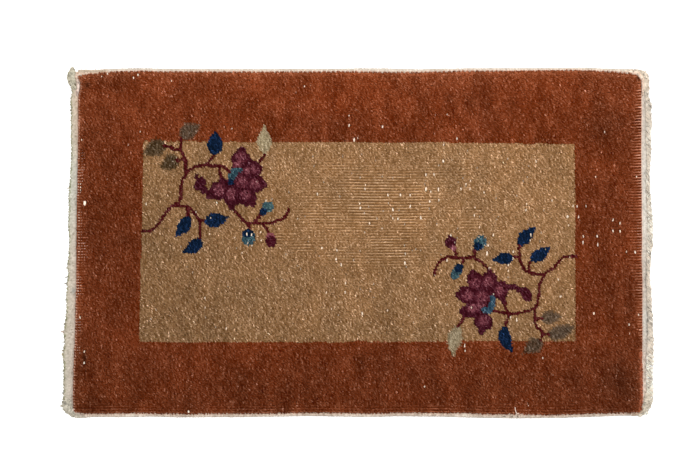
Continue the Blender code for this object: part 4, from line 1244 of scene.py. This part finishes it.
def build_right_roll(material):
    """The turned edge: the web rolled over and twisted, shaggy with broken wefts."""
    y = np.arange(RIGHT[0][0] - 1.0, RIGHT[0][-1] + 1.5, 0.62)
    py = view_px(0.0, y)[1]
    centre, half = roll_section(y)
    sides = 20
    t = np.linspace(0, 2 * np.pi, sides, endpoint=False)[None]
    high = 2.22 + 0.12 * value_noise(y, y * 0, 12.0, 1, 632)
    twist = np.cos(2 * np.pi * y[:, None] / 11.0 + 1.6 * t + 1.4 * value_noise(y, y * 0, 34.0, 1, 633)[:, None])
    around = t * 2.9
    lump = 0.060 * twist + 0.10 * grid_noise(y, around, 1.3, 634, 1.1) + 0.05 * grid_noise(y, around, 2.4, 635, 2.4)
    x = centre[:, None] + half[:, None] * (1 + 0.45 * lump) * np.cos(t)
    z = 2.35 + high[:, None] * (1 + lump) * np.sin(t)
    z = np.maximum(z, 0.05)
    clean = np.exp(-((py - 200.0) / 65.0) ** 2)[:, None]
    main = np.array([228.0, 217.0, 202.0]) + clean * np.array([9.0, 16.0, 16.0]) \
        + smoothstep(345, 365, py)[:, None] * np.array([34.0, 35.0, 35.0])
    colour = np.repeat(main[:, None], sides, 1)
    colour = colour + (7.0 * twist + (17.0 + 9.0 * smoothstep(345, 360, py)[:, None])
                       * grid_noise(y, around, 2.0, 636, 1.0)
                       + 10.0 * grid_noise(y, around, 2.6, 637, 2.6)
                       - (100.0 + 60.0 * smoothstep(345, 360, py)[:, None])
                       * np.clip(grid_noise(y, around, 2.0, 639, 1.3) - 0.5, 0, 1))[..., None]
    # painted shade: the roll's inner side, facing the groove, is darkened with the groove, and the whole roll is darker
    # low down
    inner = np.clip(-np.cos(t), 0, 1) ** 3
    shade = (right_shade(py)[:, None] * inner * (0.75 + 1.1 * grid_noise(y, around, 2.0, 638, 1.2)))
    colour = colour * (1 - 0.24 * np.clip(shade, 0, 1.5)[..., None])
    colour = colour * (0.86 + 0.14 * smoothstep(0.3, 2.4, z))[..., None]
    rings = np.stack([x, np.repeat(y[:, None], sides, 1), z], -1)
    solid = swept("right_roll", [(rings[:, ::-1], colour[:, ::-1])], material)

    # strands of the twist lie over the roll, their ends loose
    rng = np.random.default_rng(640)
    lines = []
    for _ in range(760):
        y0 = rng.uniform(RIGHT[0][0] + 2.0, RIGHT[0][-1] - 1.0)
        row = view_px(0.0, y0)[1]
        loose = 1.0 if row < 165 else 0.45
        span = rng.uniform(4.0, 9.0) * (1 if rng.random() < 0.85 else -0.6)
        a0 = math.radians(rng.uniform(95, 175))
        a1 = a0 - math.radians(rng.uniform(45, 100))
        k = np.linspace(0, 1, 6)
        a = a0 + (a1 - a0) * k
        yy = y0 - span * k + rng.normal(0, 0.2, 6)
        cx, hw = roll_section(yy)
        lift = 0.22 + loose * 0.5 * k ** 3 * rng.random()
        px_, pz = cx + (hw + lift) * np.cos(a), 2.35 + (2.15 + lift) * np.sin(a)
        pts = np.stack([px_, yy, np.clip(pz, 0.4, 4.95)], -1)
        tone_ = rng.choice((0.58, 0.84, 1.02, 1.10), p=(0.15, 0.25, 0.34, 0.26))
        tone_ *= 1.0 + 0.10 * float(smoothstep(345.0, 365.0, row)) - 0.05 * float(smoothstep(100.0, 80.0, row))
        lines.append((pts, np.array([0.16, 0.44, 0.50, 0.48, 0.38, 0.12]) * rng.uniform(0.8, 1.2),
                      np.array([226.0, 212.0, 194.0]) * tone_))
    return [solid, threads("right_roll_strands", lines, material)]


def build_binding(name, table, outer_rows, outward, colour_near, material, seed):
    """Cotton wound round the outer warps: slanting turns side by side."""
    outer = side(outer_rows, False, 2.2)
    x = np.arange(max(table[0][0], outer[0][0]) + 1.0, min(table[0][-1], outer[0][-1]) - 0.5, 0.85)
    px = view_px(x, 0.0)[0]
    edge = np.interp(x, *outer) + outward * (0.28 * value_noise(x, x * 0, 3.0, 1, seed) - 0.15)
    inner = np.interp(x, *table) - outward * 3.2
    half = np.maximum((edge - inner) * outward / 2, 1.4)
    centre = edge - outward * half
    sides = 14
    t = np.linspace(0, 2 * np.pi, sides, endpoint=False)[None]
    pitch = 5.1 if outward > 0 else 4.6
    phase = 2 * np.pi * x[:, None] / pitch + 1.5 * np.sin(t) + 1.3 * value_noise(x, x * 0, 30.0, 1, seed + 3)[:, None]
    lump = 0.07 * np.cos(phase) + 0.08 * grid_noise(x, t * 2.6, 1.6, seed + 1)
    ry = centre[:, None] + half[:, None] * (1 + 0.5 * lump) * np.cos(t) * outward
    rz = np.maximum(2.55 + 2.45 * (1 + lump) * np.sin(t), 0.05)
    colour = colour_near(px)[:, None] * np.ones((1, sides, 1))
    colour = colour + (5.0 * np.cos(phase) + (17.0 if outward > 0 else 30.0) * grid_noise(x, t * 2.6, 2.0, seed + 2)
                       + 9.0 * grid_noise(x, t * 2.6, 4.2, seed + 4))[..., None]
    if outward > 0:  # the plain cord at the top left has a groove along it
        # painted shade: the groove along the cord is darkened
        along_cord = np.exp(-((ry - np.interp(x, *table)[:, None] - 2.7) / 0.8) ** 2) * smoothstep(110, 100, px)[:, None]
        colour = colour * (1 - 0.20 * along_cord[..., None])
    # painted shade: the outermost side of the wound tube is darker, and every part is darker the lower it lies
    outermost = smoothstep(0.35, 1.0, np.cos(t))[..., None]
    colour = colour * (1 - (0.12 if outward > 0 else 0.17) * outermost)
    colour = colour * (0.80 + 0.20 * smoothstep(0.4, 3.0, rz))[..., None]
    # wool fibres tint the part beside the pile
    beside = np.exp(-((ry - np.interp(x, *table)[:, None]) * outward / 1.3).clip(0, None))[..., None]
    colour = colour + beside * np.array([13.0, -3.0, -9.0] if outward > 0 else [9.0, -8.0, -14.0])
    rings = np.stack([np.repeat(x[:, None], sides, 1), ry, rz], -1)
    if outward > 0:
        rings, colour = rings[:, ::-1], colour[:, ::-1]
    return swept(name, [(rings[:, ::-1], colour[:, ::-1])], material)


def top_cotton(px):
    cord = smoothstep(110, 104, px)[:, None]
    return np.array([222.0, 209.0, 193.0]) * (1 - cord) + np.array([214.0, 194.0, 170.0]) * cord


def low_cotton(px):
    pale = smoothstep(0.0, 0.5, value_noise(px, px * 0, 22.0, 1, 690))[:, None]
    return np.array([222.0, 204.0, 187.0]) + pale * np.array([16.0, 17.0, 17.0])


# ------------------------------------------------------------------ warp ends and fluff
def build_left_ends(material):
    """Knotted-off warp ends along the left web: a nub every few millimetres."""
    rng = np.random.default_rng(900)
    outer = side(LEFT_OUTER, True, 2.0)
    rows, colours, lines = [], [], []
    y = outer[0][0] + 6.0
    while y < outer[0][-1] - 4.0:
        size = rng.uniform(0.9, 1.5)
        x = np.interp(y, *outer) + size * 0.75
        rows.append((x, y, 1.9 + rng.uniform(-0.3, 0.5), size * 1.2, size * rng.uniform(0.9, 1.3), 1.35,
                     rng.normal(0, 0.5)))
        dark = rng.random() < 0.38
        colours.append(np.array([142.0, 136.0, 112.0] if dark else [188.0, 180.0, 160.0]) * rng.uniform(0.92, 1.1))
        for _ in range(rng.integers(1, 4)):
            a = math.pi + rng.normal(0, 0.8)
            length = rng.uniform(0.8, 2.0)
            t = np.linspace(0, 1, 4)[:, None]
            start = np.array([x, y + rng.normal(0, 0.8), 2.0 + rng.uniform(-0.6, 0.8)])
            way = np.array([math.cos(a) * length, math.sin(a) * length, -0.8])
            lines.append((start + way * t + np.array([0, rng.normal(0, 0.4), 0.4]) * np.sin(t * 3),
                          np.linspace(0.30, 0.12, 4), np.array([188.0, 182.0, 162.0]) * rng.uniform(0.85, 1.1)))
        y += rng.uniform(3.6, 7.0)
    for px, py, big, shade in ((66.6, 267.4, 1.5, "ivory"), (61.9, 331.6, 1.7, "shell"),
                               (62.2, 354.4, 1.8, "straw"), (61.2, 406.0, 1.7, "ivory"),
                               (65.4, 277.0, 1.0, "olive"), (64.0, 324.0, 1.1, "umber"),
                               (62.2, 402.2, 1.2, "olive"), (61.9, 350.4, 1.0, "dun"),
                               (64.8, 283.5, 1.0, "olive"), (68.9, 229.6, 0.9, "umber"),
                               (70.4, 110.6, 1.0, "olive"), (67.6, 188.2, 0.9, "straw"),
                               (62.8, 342.0, 0.8, "olive"), (62.6, 371.0, 0.9, "olive"),
                               (62.6, 393.0, 0.9, "olive"), (65.6, 300.0, 0.8, "olive")):
        x, y = at_px(px, py, 2.0)
        root = np.interp(y, *outer) + 1.2
        steps = max(2, int(math.ceil((root - x) / (big * 0.9))) + 1)
        for k in range(steps + 2):
            t = min(k / (steps - 1), 1.0)
            rows.append((root + (x - root) * t + rng.normal(0, 0.15) * big, y + rng.normal(0, 0.4) * big,
                         1.9 + 0.25 * (k % 3), big * (0.95 - 0.2 * t), big * (0.9 - 0.1 * t), 1.2,
                         rng.uniform(0, 3)))
            colours.append(np.array(COTTON[shade], float) * rng.uniform(0.88, 1.14))
    knots = blobs("left_warp_knots", rows, colours, material, 901, rings=5, sides=8, rough=0.2)
    ends = threads("left_warp_ends", lines, material)
    return [knots, ends]


def fluff(name, places, material, seed, length, radius, colour, bend=0.5):
    """Stray cotton fibres: places rows x, y, z, heading in radians."""
    rng = np.random.default_rng(seed)
    lines = []
    for x, y, z, a in places:
        size = rng.uniform(*length)
        t = np.linspace(0, 1, 6)[:, None]
        side_way = np.array([-math.sin(a), math.cos(a), 0.0]) * rng.normal(0, bend) * size
        way = np.array([math.cos(a), math.sin(a), 0.0]) * size
        p = np.array([x, y, z]) + way * t + side_way * t ** 2
        p[:, 2] = np.maximum(z + 0.4 * np.sin(t[:, 0] * 3) - z * 0.5 * t[:, 0] ** 2, 0.3)
        lines.append((p, np.linspace(radius, radius * 0.4, 6), np.array(colour) * rng.uniform(0.9, 1.05)))
    return threads(name, lines, material)


def build_fluff(material):
    rng = np.random.default_rng(950)
    made = []
    right = []
    for _ in range(260):
        y = rng.uniform(RIGHT[0][0] + 2, RIGHT[0][-1] - 1)
        centre, half = roll_section(np.array([y]))
        upper = rng.random() < (0.9 if y > 130 else 0.4)
        right.append((centre[0] + half[0] * rng.uniform(0.35, 0.95), y, 2.7 if upper else 2.0,
                      rng.normal(-0.3, 0.7)))
    made.append(fluff("right_fluff", right, material, 951, (1.4, 3.2), 0.22, (224.0, 214.0, 198.0)))
    spikes = []
    for px, py, n, long_, a0 in ((651.2, 104.6, 8, 4.0, 0.25), (651.8, 113.4, 7, 3.6, -0.1),
                                 (651.6, 124.4, 7, 3.6, 0.15), (651.4, 129.6, 4, 2.4, 0.0),
                                 (650.8, 141.0, 2, 5.6, -0.05), (652.6, 358.0, 6, 3.2, -0.5),
                                 (653.2, 361.6, 6, 2.8, -1.4), (651.2, 97.6, 4, 2.4, 0.3)):
        x, y = at_px(px, py, 2.6)
        for _ in range(n):
            spikes.append((x - 1.2, y + rng.normal(0, 0.9), 2.6, a0 + rng.normal(0.0, 0.28), long_))
    lines = []
    for x, y, z, a, long_ in spikes:
        t = np.linspace(0, 1, 6)[:, None]
        size = long_ * rng.uniform(0.7, 1.1)
        p = np.array([x, y, z]) + np.array([math.cos(a), math.sin(a), 0.0]) * size * t
        p = p + np.array([0, rng.normal(0, 0.3), 0]) * t ** 2 + np.array([0, 0, -0.5]) * t
        lines.append((p, np.linspace(0.34, 0.12, 6), np.array([206.0, 196.0, 178.0]) * rng.uniform(0.85, 1.05)))
    made.append(threads("right_spikes", lines, material))
    left = []
    outer = side(LEFT_OUTER, True, 2.0)
    for _ in range(150):
        y = rng.uniform(outer[0][0] + 4, outer[0][-1] - 4)
        left.append((np.interp(y, *outer) + 1.4, y, 2.0, math.pi + rng.normal(0.0, 0.9)))
    made.append(fluff("left_fluff", left, material, 952, (1.2, 2.6), 0.20, (196.0, 190.0, 172.0)))
    rim = []
    rim_tables = {1: (side(TOP_OUTER, False, 2.2), 1.0), 0: (side(BOTTOM_OUTER, False, 2.2), -1.0)}
    for _ in range(420):
        top = int(rng.random() < 0.4)
        table, way = rim_tables[top]
        x = rng.uniform(table[0][0] + 4, table[0][-1] - 4)
        rim.append((x, np.interp(x, *table) - way * 1.3, 2.4, way * math.pi / 2 + rng.normal(0, 0.8)))
    made.append(fluff("rim_fluff", rim, material, 953, (0.9, 2.0), 0.17, (206.0, 190.0, 170.0)))
    return made


CORNERS = (  # centre line in view pixels, half width in pixels at each point, crown in mm, colour, strands
    (((66.8, 399.0), (67.6, 405.5), (70.0, 410.6), (74.6, 413.6), (79.6, 415.0), (85.6, 415.8)),
     (4.4, 4.6, 4.4, 3.8, 3.0, 1.5), 5.0, (206, 198, 180), 90),
    (((75.4, 90.0), (74.4, 86.4), (71.8, 81.6), (71.6, 77.0), (72.2, 71.4), (72.9, 66.6)),
     (2.2, 2.8, 4.0, 4.3, 3.3, 0.9), 4.6, (206, 198, 176), 90),
    (((75.6, 79.0), (78.4, 75.6), (83.0, 74.2), (92.0, 72.6)), (2.0, 2.4, 2.1, 1.2), 5.4, (228, 202, 180), 34),
    (((627.0, 70.8), (634.5, 71.6), (640.4, 73.4), (645.0, 76.6), (645.8, 82.6), (646.0, 92.0)),
     (1.2, 2.2, 3.4, 3.7, 3.5, 3.2), 5.4, (222, 206, 186), 110),
    (((648.4, 392.0), (648.2, 401.0), (645.6, 407.4), (642.0, 411.8), (638.0, 416.2)),
     (4.0, 4.4, 4.2, 3.6, 2.0), 5.2, (218, 206, 186), 100),
    (((76.8, 78.4), (78.2, 81.6), (78.4, 86.0), (77.8, 91.0), (76.8, 97.0)), (1.2, 1.8, 2.0, 1.7, 0.8), 5.4,
     (238, 212, 196), 26),
    (((624.0, 71.0), (632.0, 72.4), (638.0, 75.0), (641.6, 79.0), (642.7, 86.0), (642.8, 97.0)),
     (1.1, 2.0, 2.6, 2.4, 1.6, 0.9), 7.4, (240, 214, 192), 34),
    (((72.0, 408.5), (76.4, 412.4), (81.0, 414.2), (87.0, 415.4)), (1.8, 2.2, 2.0, 1.0), 5.2, (226, 206, 190), 24),
    (((644.2, 405.5), (641.2, 411.4), (637.0, 413.8), (630.0, 415.0)), (1.6, 2.0, 1.7, 0.9), 5.2, (206, 178, 152), 24),
)


def build_corners(material):
    """Where web and binding meet: wound cotton at the four corners."""
    rng = np.random.default_rng(970)
    solids, lines = [], []
    for number, (points, halves, crown, colour, strands) in enumerate(CORNERS):
        px, py = np.array(points, float).T
        x, y = at_px(px, py, 2.5)
        path = curve_points(np.stack([x, y], -1), 0.8)
        way = np.gradient(path, axis=0)
        way /= np.linalg.norm(way, axis=1, keepdims=True)
        across = np.stack([way[:, 1], -way[:, 0]], -1)
        reach = np.concatenate([[0], np.cumsum(np.linalg.norm(np.diff(path, axis=0), axis=1))])
        stops = np.array([np.argmin(np.hypot(*(path - p).T)) for p in np.stack([x, y], -1)])
        half = np.interp(np.arange(len(path)), stops, np.array(halves) * PIXEL)
        half = half * (1 + 0.10 * value_noise(reach, reach * 0, 3.0, 1, 972 + number))
        ends = smoothstep(0, 2.2, reach) * smoothstep(0, 2.2, reach[-1] - reach)
        half = half * (0.35 + 0.65 * ends)
        height = np.minimum(crown / 2, half * 1.05) * (0.55 + 0.45 * ends)
        t = np.linspace(0, 2 * np.pi, 18, endpoint=False)[None]
        lump = 0.21 * grid_noise(reach, t * 2.6, 2.0, 980 + number) \
            + 0.08 * np.cos(2 * np.pi * reach[:, None] / 5.0 + 1.8 * t)
        off = half[:, None] * (1 + 0.6 * lump) * np.cos(t)
        z = np.maximum(height[:, None] + 0.05 + height[:, None] * (1 + 0.6 * lump) * np.sin(t), 0.05)
        rings = np.concatenate([path[:, None] + across[:, None] * off[..., None], z[..., None]], -1)
        shade = np.array(colour, float) + 5.0 + (20.0 * grid_noise(reach, t * 2.6, 2.1, 990 + number)
                                                 + 10.0 * grid_noise(reach, t * 2.6, 4.0, 1000 + number))[..., None]
        dark = np.clip(grid_noise(reach, t * 2.6, 2.2, 1010 + number) - 0.42, 0, 1) * 0.9
        # darker patches, then painted shade: the lower a place on the roll lies, the darker it is
        shade = shade * (1 - dark)[..., None] * (0.84 + 0.16 * smoothstep(0.4, 2.4, z))[..., None]
        solids.append((rings[:, ::-1], shade[:, ::-1]))
        for _ in range(int(strands * 0.8)):
            start = rng.uniform(0.02, 0.96) * reach[-1]
            span = rng.uniform(2.5, 6.5) * rng.choice((-1, 1))
            k = np.linspace(0, 1, 6)
            along = np.clip(start + span * k, 0.3, reach[-1] - 0.3)
            a0 = math.radians(rng.uniform(15, 165))
            a = a0 + math.radians(rng.uniform(8, 40)) * rng.choice((-1, 1)) * k
            base = np.stack([np.interp(along, reach, path[:, 0]), np.interp(along, reach, path[:, 1])], -1)
            side_way = np.stack([np.interp(along, reach, across[:, 0]), np.interp(along, reach, across[:, 1])], -1)
            w, h = np.interp(along, reach, half) + 0.25, np.interp(along, reach, height) + 0.2
            flat = base + side_way * (w * np.cos(a))[:, None]
            zz = np.clip(h + h * np.sin(a), 0.35, crown + 0.45)
            lines.append((np.concatenate([flat, zz[:, None]], -1),
                          np.array([0.14, 0.34, 0.40, 0.36, 0.28, 0.10]) * rng.uniform(0.7, 1.1),
                          np.array(colour, float) * rng.choice((0.68, 0.88, 1.02, 1.09), p=(0.14, 0.26, 0.34, 0.26))))
    # dark blobs at the corners: painted shadow in the gaps, and dark ends
    rows, colours = [], []
    for px, py, w, h, shade in ((74.9, 84.6, 1.3, 2.6, "umber"), (73.6, 87.2, 1.0, 1.2, "olive"),
                                (69.4, 81.6, 1.2, 1.2, "olive"), (72.8, 84.0, 0.9, 1.4, "umber"),
                                (78.6, 88.6, 0.9, 0.9, "umber"), (66.6, 410.4, 1.3, 0.9, "olive"),
                                (69.4, 413.2, 1.2, 0.8, "olive"), (73.6, 416.9, 1.4, 0.8, "dun"),
                                (641.0, 411.8, 1.9, 1.1, "umber"), (645.6, 407.6, 1.5, 1.0, "olive"),
                                (637.6, 412.6, 1.6, 1.0, "umber"), (643.6, 410.2, 1.4, 0.9, "olive"),
                                (640.4, 414.8, 1.2, 0.9, "dun"), (76.4, 411.6, 1.3, 0.8, "umber"),
                                (78.8, 416.6, 1.5, 0.7, "olive"), (82.4, 415.0, 1.4, 0.7, "umber"),
                                (646.8, 400.4, 0.8, 1.3, "olive"), (648.8, 406.4, 0.9, 1.2, "dun"),
                                (642.6, 74.4, 1.2, 0.9, "dun"), (646.6, 79.4, 0.8, 1.3, "dun"),
                                (638.6, 71.2, 1.1, 0.7, "dun"), (71.0, 74.6, 0.9, 1.3, "dun"),
                                (639.8, 414.6, 0.9, 0.9, "dun"), (647.2, 396.0, 0.6, 1.5, "umber"),
                                (641.6, 76.4, 0.8, 1.1, "olive"), (644.2, 82.4, 0.6, 1.6, "dun"),
                                (634.6, 69.6, 1.2, 0.5, "dun"), (647.0, 374.6, 0.5, 1.3, "olive"),
                                (646.8, 363.4, 0.9, 0.9, "olive"), (644.6, 103.0, 0.5, 1.2, "dun")):
        x, y = at_px(px, py, 4.6)
        rows.append((x, y, 4.1, w * PIXEL * 0.55, h * PIXEL * 0.55, 0.8, rng.normal(0, 0.4)))
        colours.append(np.array(COTTON[shade], float) * rng.uniform(0.92, 1.1))
    return [swept("corner_rolls", solids, material), threads("corner_strands", lines, material),
            blobs("corner_gaps", rows, colours, material, 971, rough=0.2)]


def build_rim_stitches(material):
    """Cotton of the winding caught between the clumps of pile along the bottom edge."""
    rng = np.random.default_rng(940)
    rows, colours = [], []
    x = BOTTOM[0][0] + 10.0
    while x < BOTTOM[0][-1] - 6.0:
        px = float(view_px(x, 0.0)[0])
        thick = 0.35 + 0.65 * float(smoothstep(-0.2, 0.5, value_noise(px, 0.0, 26.0, 1.0, 941)))
        if rng.random() < thick:
            inward = rng.uniform(-1.6, 1.2)
            y = np.interp(x, *BOTTOM) + inward
            size = rng.uniform(0.50, 0.90)
            rows.append((x, y, 8.0 + 0.5 * inward + rng.uniform(-0.4, 0.4), size, size * rng.uniform(0.9, 1.5), 0.8,
                         rng.normal(0.3, 0.5)))
            colours.append(np.array([255.0, 236.0, 214.0]) * rng.uniform(0.84, 1.0))
        x += rng.uniform(1.1, 2.6)
    return blobs("rim_stitches", rows, np.minimum(colours, 255), material, 942, rough=0.2)


def build_top_turns(material):
    """Turns of the top winding that lie over the pile's edge, between its clumps, and fine ones between."""
    rng = np.random.default_rng(945)
    lines = []
    px = np.arange(92.0, 638.0, 0.05)
    phase = turn_phase(px)
    for half, thick, level, colour in ((0.5, 0.74, 6.9, (255.0, 234.0, 214.0)), (1.0, 0.46, 7.6, (224.0, 172.0, 146.0))):
        for at in px[1:][np.floor(phase[1:] - half) > np.floor(phase[:-1] - half)]:
            strong = float(turn_depth(at)) * rng.uniform(0.75, 1.15)
            if rng.random() > 0.35 + 0.75 * strong or (half == 1.0 and not 190 < at < 500 and at < 600):
                continue
            x = float(at_px(at, 72.0, 6.5)[0]) + rng.normal(0, 0.2)
            y = float(np.interp(x, *TOP))
            k = np.linspace(0, 1, 6)
            reach_in = (2.6 if half == 0.5 else 1.6) * strong
            lift = 4.7 + (level * (0.94 + 0.06 * strong) - 4.7) * np.sin(np.minimum(k * 1.6, 1.0) * np.pi / 2)
            pts = np.stack([x + rng.normal(0.3, 0.3) * (k - 0.5), y + 2.2 - (2.2 + reach_in) * k, lift], -1)
            lines.append((pts, thick * strong * np.array([0.8, 1.0, 1.05, 1.0, 0.85, 0.4]),
                          np.array(colour) * rng.uniform(0.88, 1.02)))
    return threads("top_turns", lines, material)


def build_loose_thread(material):
    """One white thread end lying over the bottom edge, forked at its foot, with four dark threads under it as painted
    shadow.
    """
    def lie(points, z):
        px, py = np.array(points, float).T
        x, y = at_px(px, py)
        line = curve_points(np.stack([x, y], -1), 0.9)
        level = np.interp(np.linspace(0, 1, len(line)), np.linspace(0, 1, len(z)), z)
        return np.concatenate([line, level[:, None]], 1)
    lines = [
        (lie([(515.0, 407.2), (515.3, 409.6), (516.0, 412.0), (517.0, 413.6), (519.2, 413.4)],
             (9.4, 9.5, 9.5, 9.2, 9.0)), (0.72, 0.86), (255.0, 226.0, 206.0)),
        (lie([(516.8, 413.0), (516.6, 414.8), (516.9, 416.8)], (8.8, 7.8, 4.8)), (0.68, 0.58), (248.0, 226.0, 208.0)),
        (lie([(521.4, 414.2), (520.0, 415.0), (519.2, 416.4)], (8.4, 7.8, 5.6)), (0.66, 0.55), (255.0, 226.0, 206.0)),
        (lie([(508.6, 416.4), (509.2, 414.6), (510.0, 413.4)], (5.8, 7.4, 8.4)), (0.60, 0.55), (252.0, 228.0, 208.0)),
        (lie([(503.6, 414.6), (506.6, 415.6), (510.6, 415.8), (513.8, 414.6)], (7.0, 6.4, 6.4, 7.0)), (0.50, 0.55),
         (236.0, 212.0, 194.0)),
        # painted shadow: four dark threads under the thread's foot and loops
        (lie([(503.0, 416.8), (504.4, 416.6), (506.0, 416.9)], (5.6, 5.7, 5.4)), (0.50, 0.45), (96.0, 88.0, 74.0)),
        (lie([(509.8, 417.3), (511.4, 417.1), (513.2, 416.6)], (5.2, 5.4, 5.5)), (0.50, 0.45), (110.0, 100.0, 84.0)),
        (lie([(509.4, 414.4), (510.8, 414.0), (512.6, 414.4)], (7.2, 7.4, 7.0)), (0.50, 0.45), (112.0, 82.0, 62.0)),
        (lie([(516.0, 415.2), (517.2, 416.4), (518.4, 417.4)], (6.4, 5.8, 5.2)), (0.55, 0.70), (104.0, 92.0, 78.0)),
    ]
    lines = [(p, np.linspace(r[0], r[1], len(p)), colour) for p, r, colour in lines]
    return threads("loose_thread", lines, material)


# ------------------------------------------------------------------ put together
def build():
    wool = wool_material("wool_tufts", 0.17)
    ground = wool_material("wool_ground", 0.25)
    bare = cotton_material("bare_cotton", (900.0, 420.0, 600.0), 0.0, 0.10)
    web_left = cotton_material("web_cotton_left_fine", (1500.0, 260.0, 600.0), 0.0, 0.12)
    web_right = cotton_material("web_cotton_right_fine", (1500.0, 260.0, 600.0), 0.0, 0.12)
    roll = cotton_material("roll_cotton", (420.0, 1300.0, 600.0), 52.0, 0.14)
    wound_top = cotton_material("binding_cotton_fine", (1300.0, 300.0, 600.0), 14.0, 0.12)
    wound_low = cotton_material("binding_cotton_low_fine", (1300.0, 300.0, 600.0), -14.0, 0.12)

    cloth = build_cloth(ground)
    pile = build_pile(wool)
    knots = build_bare_knots(bare)
    left_web = build_left_web(web_left)
    left_ends = build_left_ends(web_left)
    right_web = build_right_web(web_right)
    roll_parts = build_right_roll(roll)
    top = build_binding("top_winding", TOP, TOP_OUTER, 1.0, top_cotton, wound_top, 660)
    low = build_binding("bottom_winding", BOTTOM, BOTTOM_OUTER, -1.0, low_cotton, wound_low, 670)
    right_loose, spikes, left_loose, rim_loose = build_fluff(roll)
    corners = build_corners(roll)
    thread = build_loose_thread(bare)
    stitches = build_rim_stitches(wound_low)
    turns = build_top_turns(wound_top)

    everything = [cloth, *pile, knots, left_web, *left_ends, right_web, *roll_parts, top, low,
                  right_loose, spikes, left_loose, rim_loose, *corners, thread, stitches, turns]
    for ob in everything:
        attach(ob, "root")
    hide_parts("knotted_rug")
    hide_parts("end_web_left")
    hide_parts("end_web_right")
    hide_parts("edge_binding_top")
    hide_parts("edge_binding_bottom")
    count = sum(len(p.vertices) - 2 for o in everything for p in o.data.polygons)
    print("triangles", count, {o.name: sum(len(p.vertices) - 2 for p in o.data.polygons) for o in everything})


def build_stage():
    me = bpy.data.meshes.new("floor")
    s = 30.0
    me.from_pydata([(-s, -s, 0), (s, -s, 0), (s, s, 0), (-s, s, 0)], [], [(0, 1, 2, 3)])
    m = bpy.data.materials.new("floor_pale")
    m.use_nodes = True
    shader = m.node_tree.nodes["Principled BSDF"]
    shader.inputs["Base Color"].default_value = (0.93, 0.93, 0.93, 1.0)
    shader.inputs["Roughness"].default_value = 0.9
    shader.inputs["Specular IOR Level"].default_value = 0.1
    shader.inputs["Emission Color"].default_value = (1.0, 1.0, 1.0, 1.0)
    shader.inputs["Emission Strength"].default_value = 0.45
    me.materials.append(m)
    floor = bpy.data.objects.new("floor", me)
    floor.location.z = -0.0004
    bpy.context.scene.collection.objects.link(floor)

    world = bpy.data.worlds.new("studio")
    world.use_nodes = True
    world.node_tree.nodes["Background"].inputs["Color"].default_value = (1.0, 1.0, 1.0, 1.0)
    world.node_tree.nodes["Background"].inputs["Strength"].default_value = 0.78
    bpy.context.scene.world = world
    for name, place, size, power in (("key", (0.9, 1.7, 1.9), 1.3, 50.0), ("fill", (-1.4, -1.0, 2.4), 2.2, 20.0)):
        lamp = bpy.data.lights.new(name, "AREA")
        lamp.size = size
        lamp.energy = power
        ob = bpy.data.objects.new(name, lamp)
        ob.location = place
        ob.rotation_euler = Vector([-c for c in place]).to_track_quat("-Z", "Y").to_euler()
        bpy.context.scene.collection.objects.link(ob)

    cam = bpy.data.cameras.new("camera")
    cam.lens = 70.0
    cam.sensor_width = 36.0
    ob = bpy.data.objects.new("camera", cam)
    ob.location = (VIEW_MM[0] * MM, VIEW_MM[1] * MM, (DISTANCE + TOP_LEVEL) * MM)
    bpy.context.scene.collection.objects.link(ob)
    bpy.context.scene.camera = ob
    bpy.context.scene.view_settings.view_transform = "Standard"
    bpy.context.scene.view_settings.look = "None"


build_stage()
build()
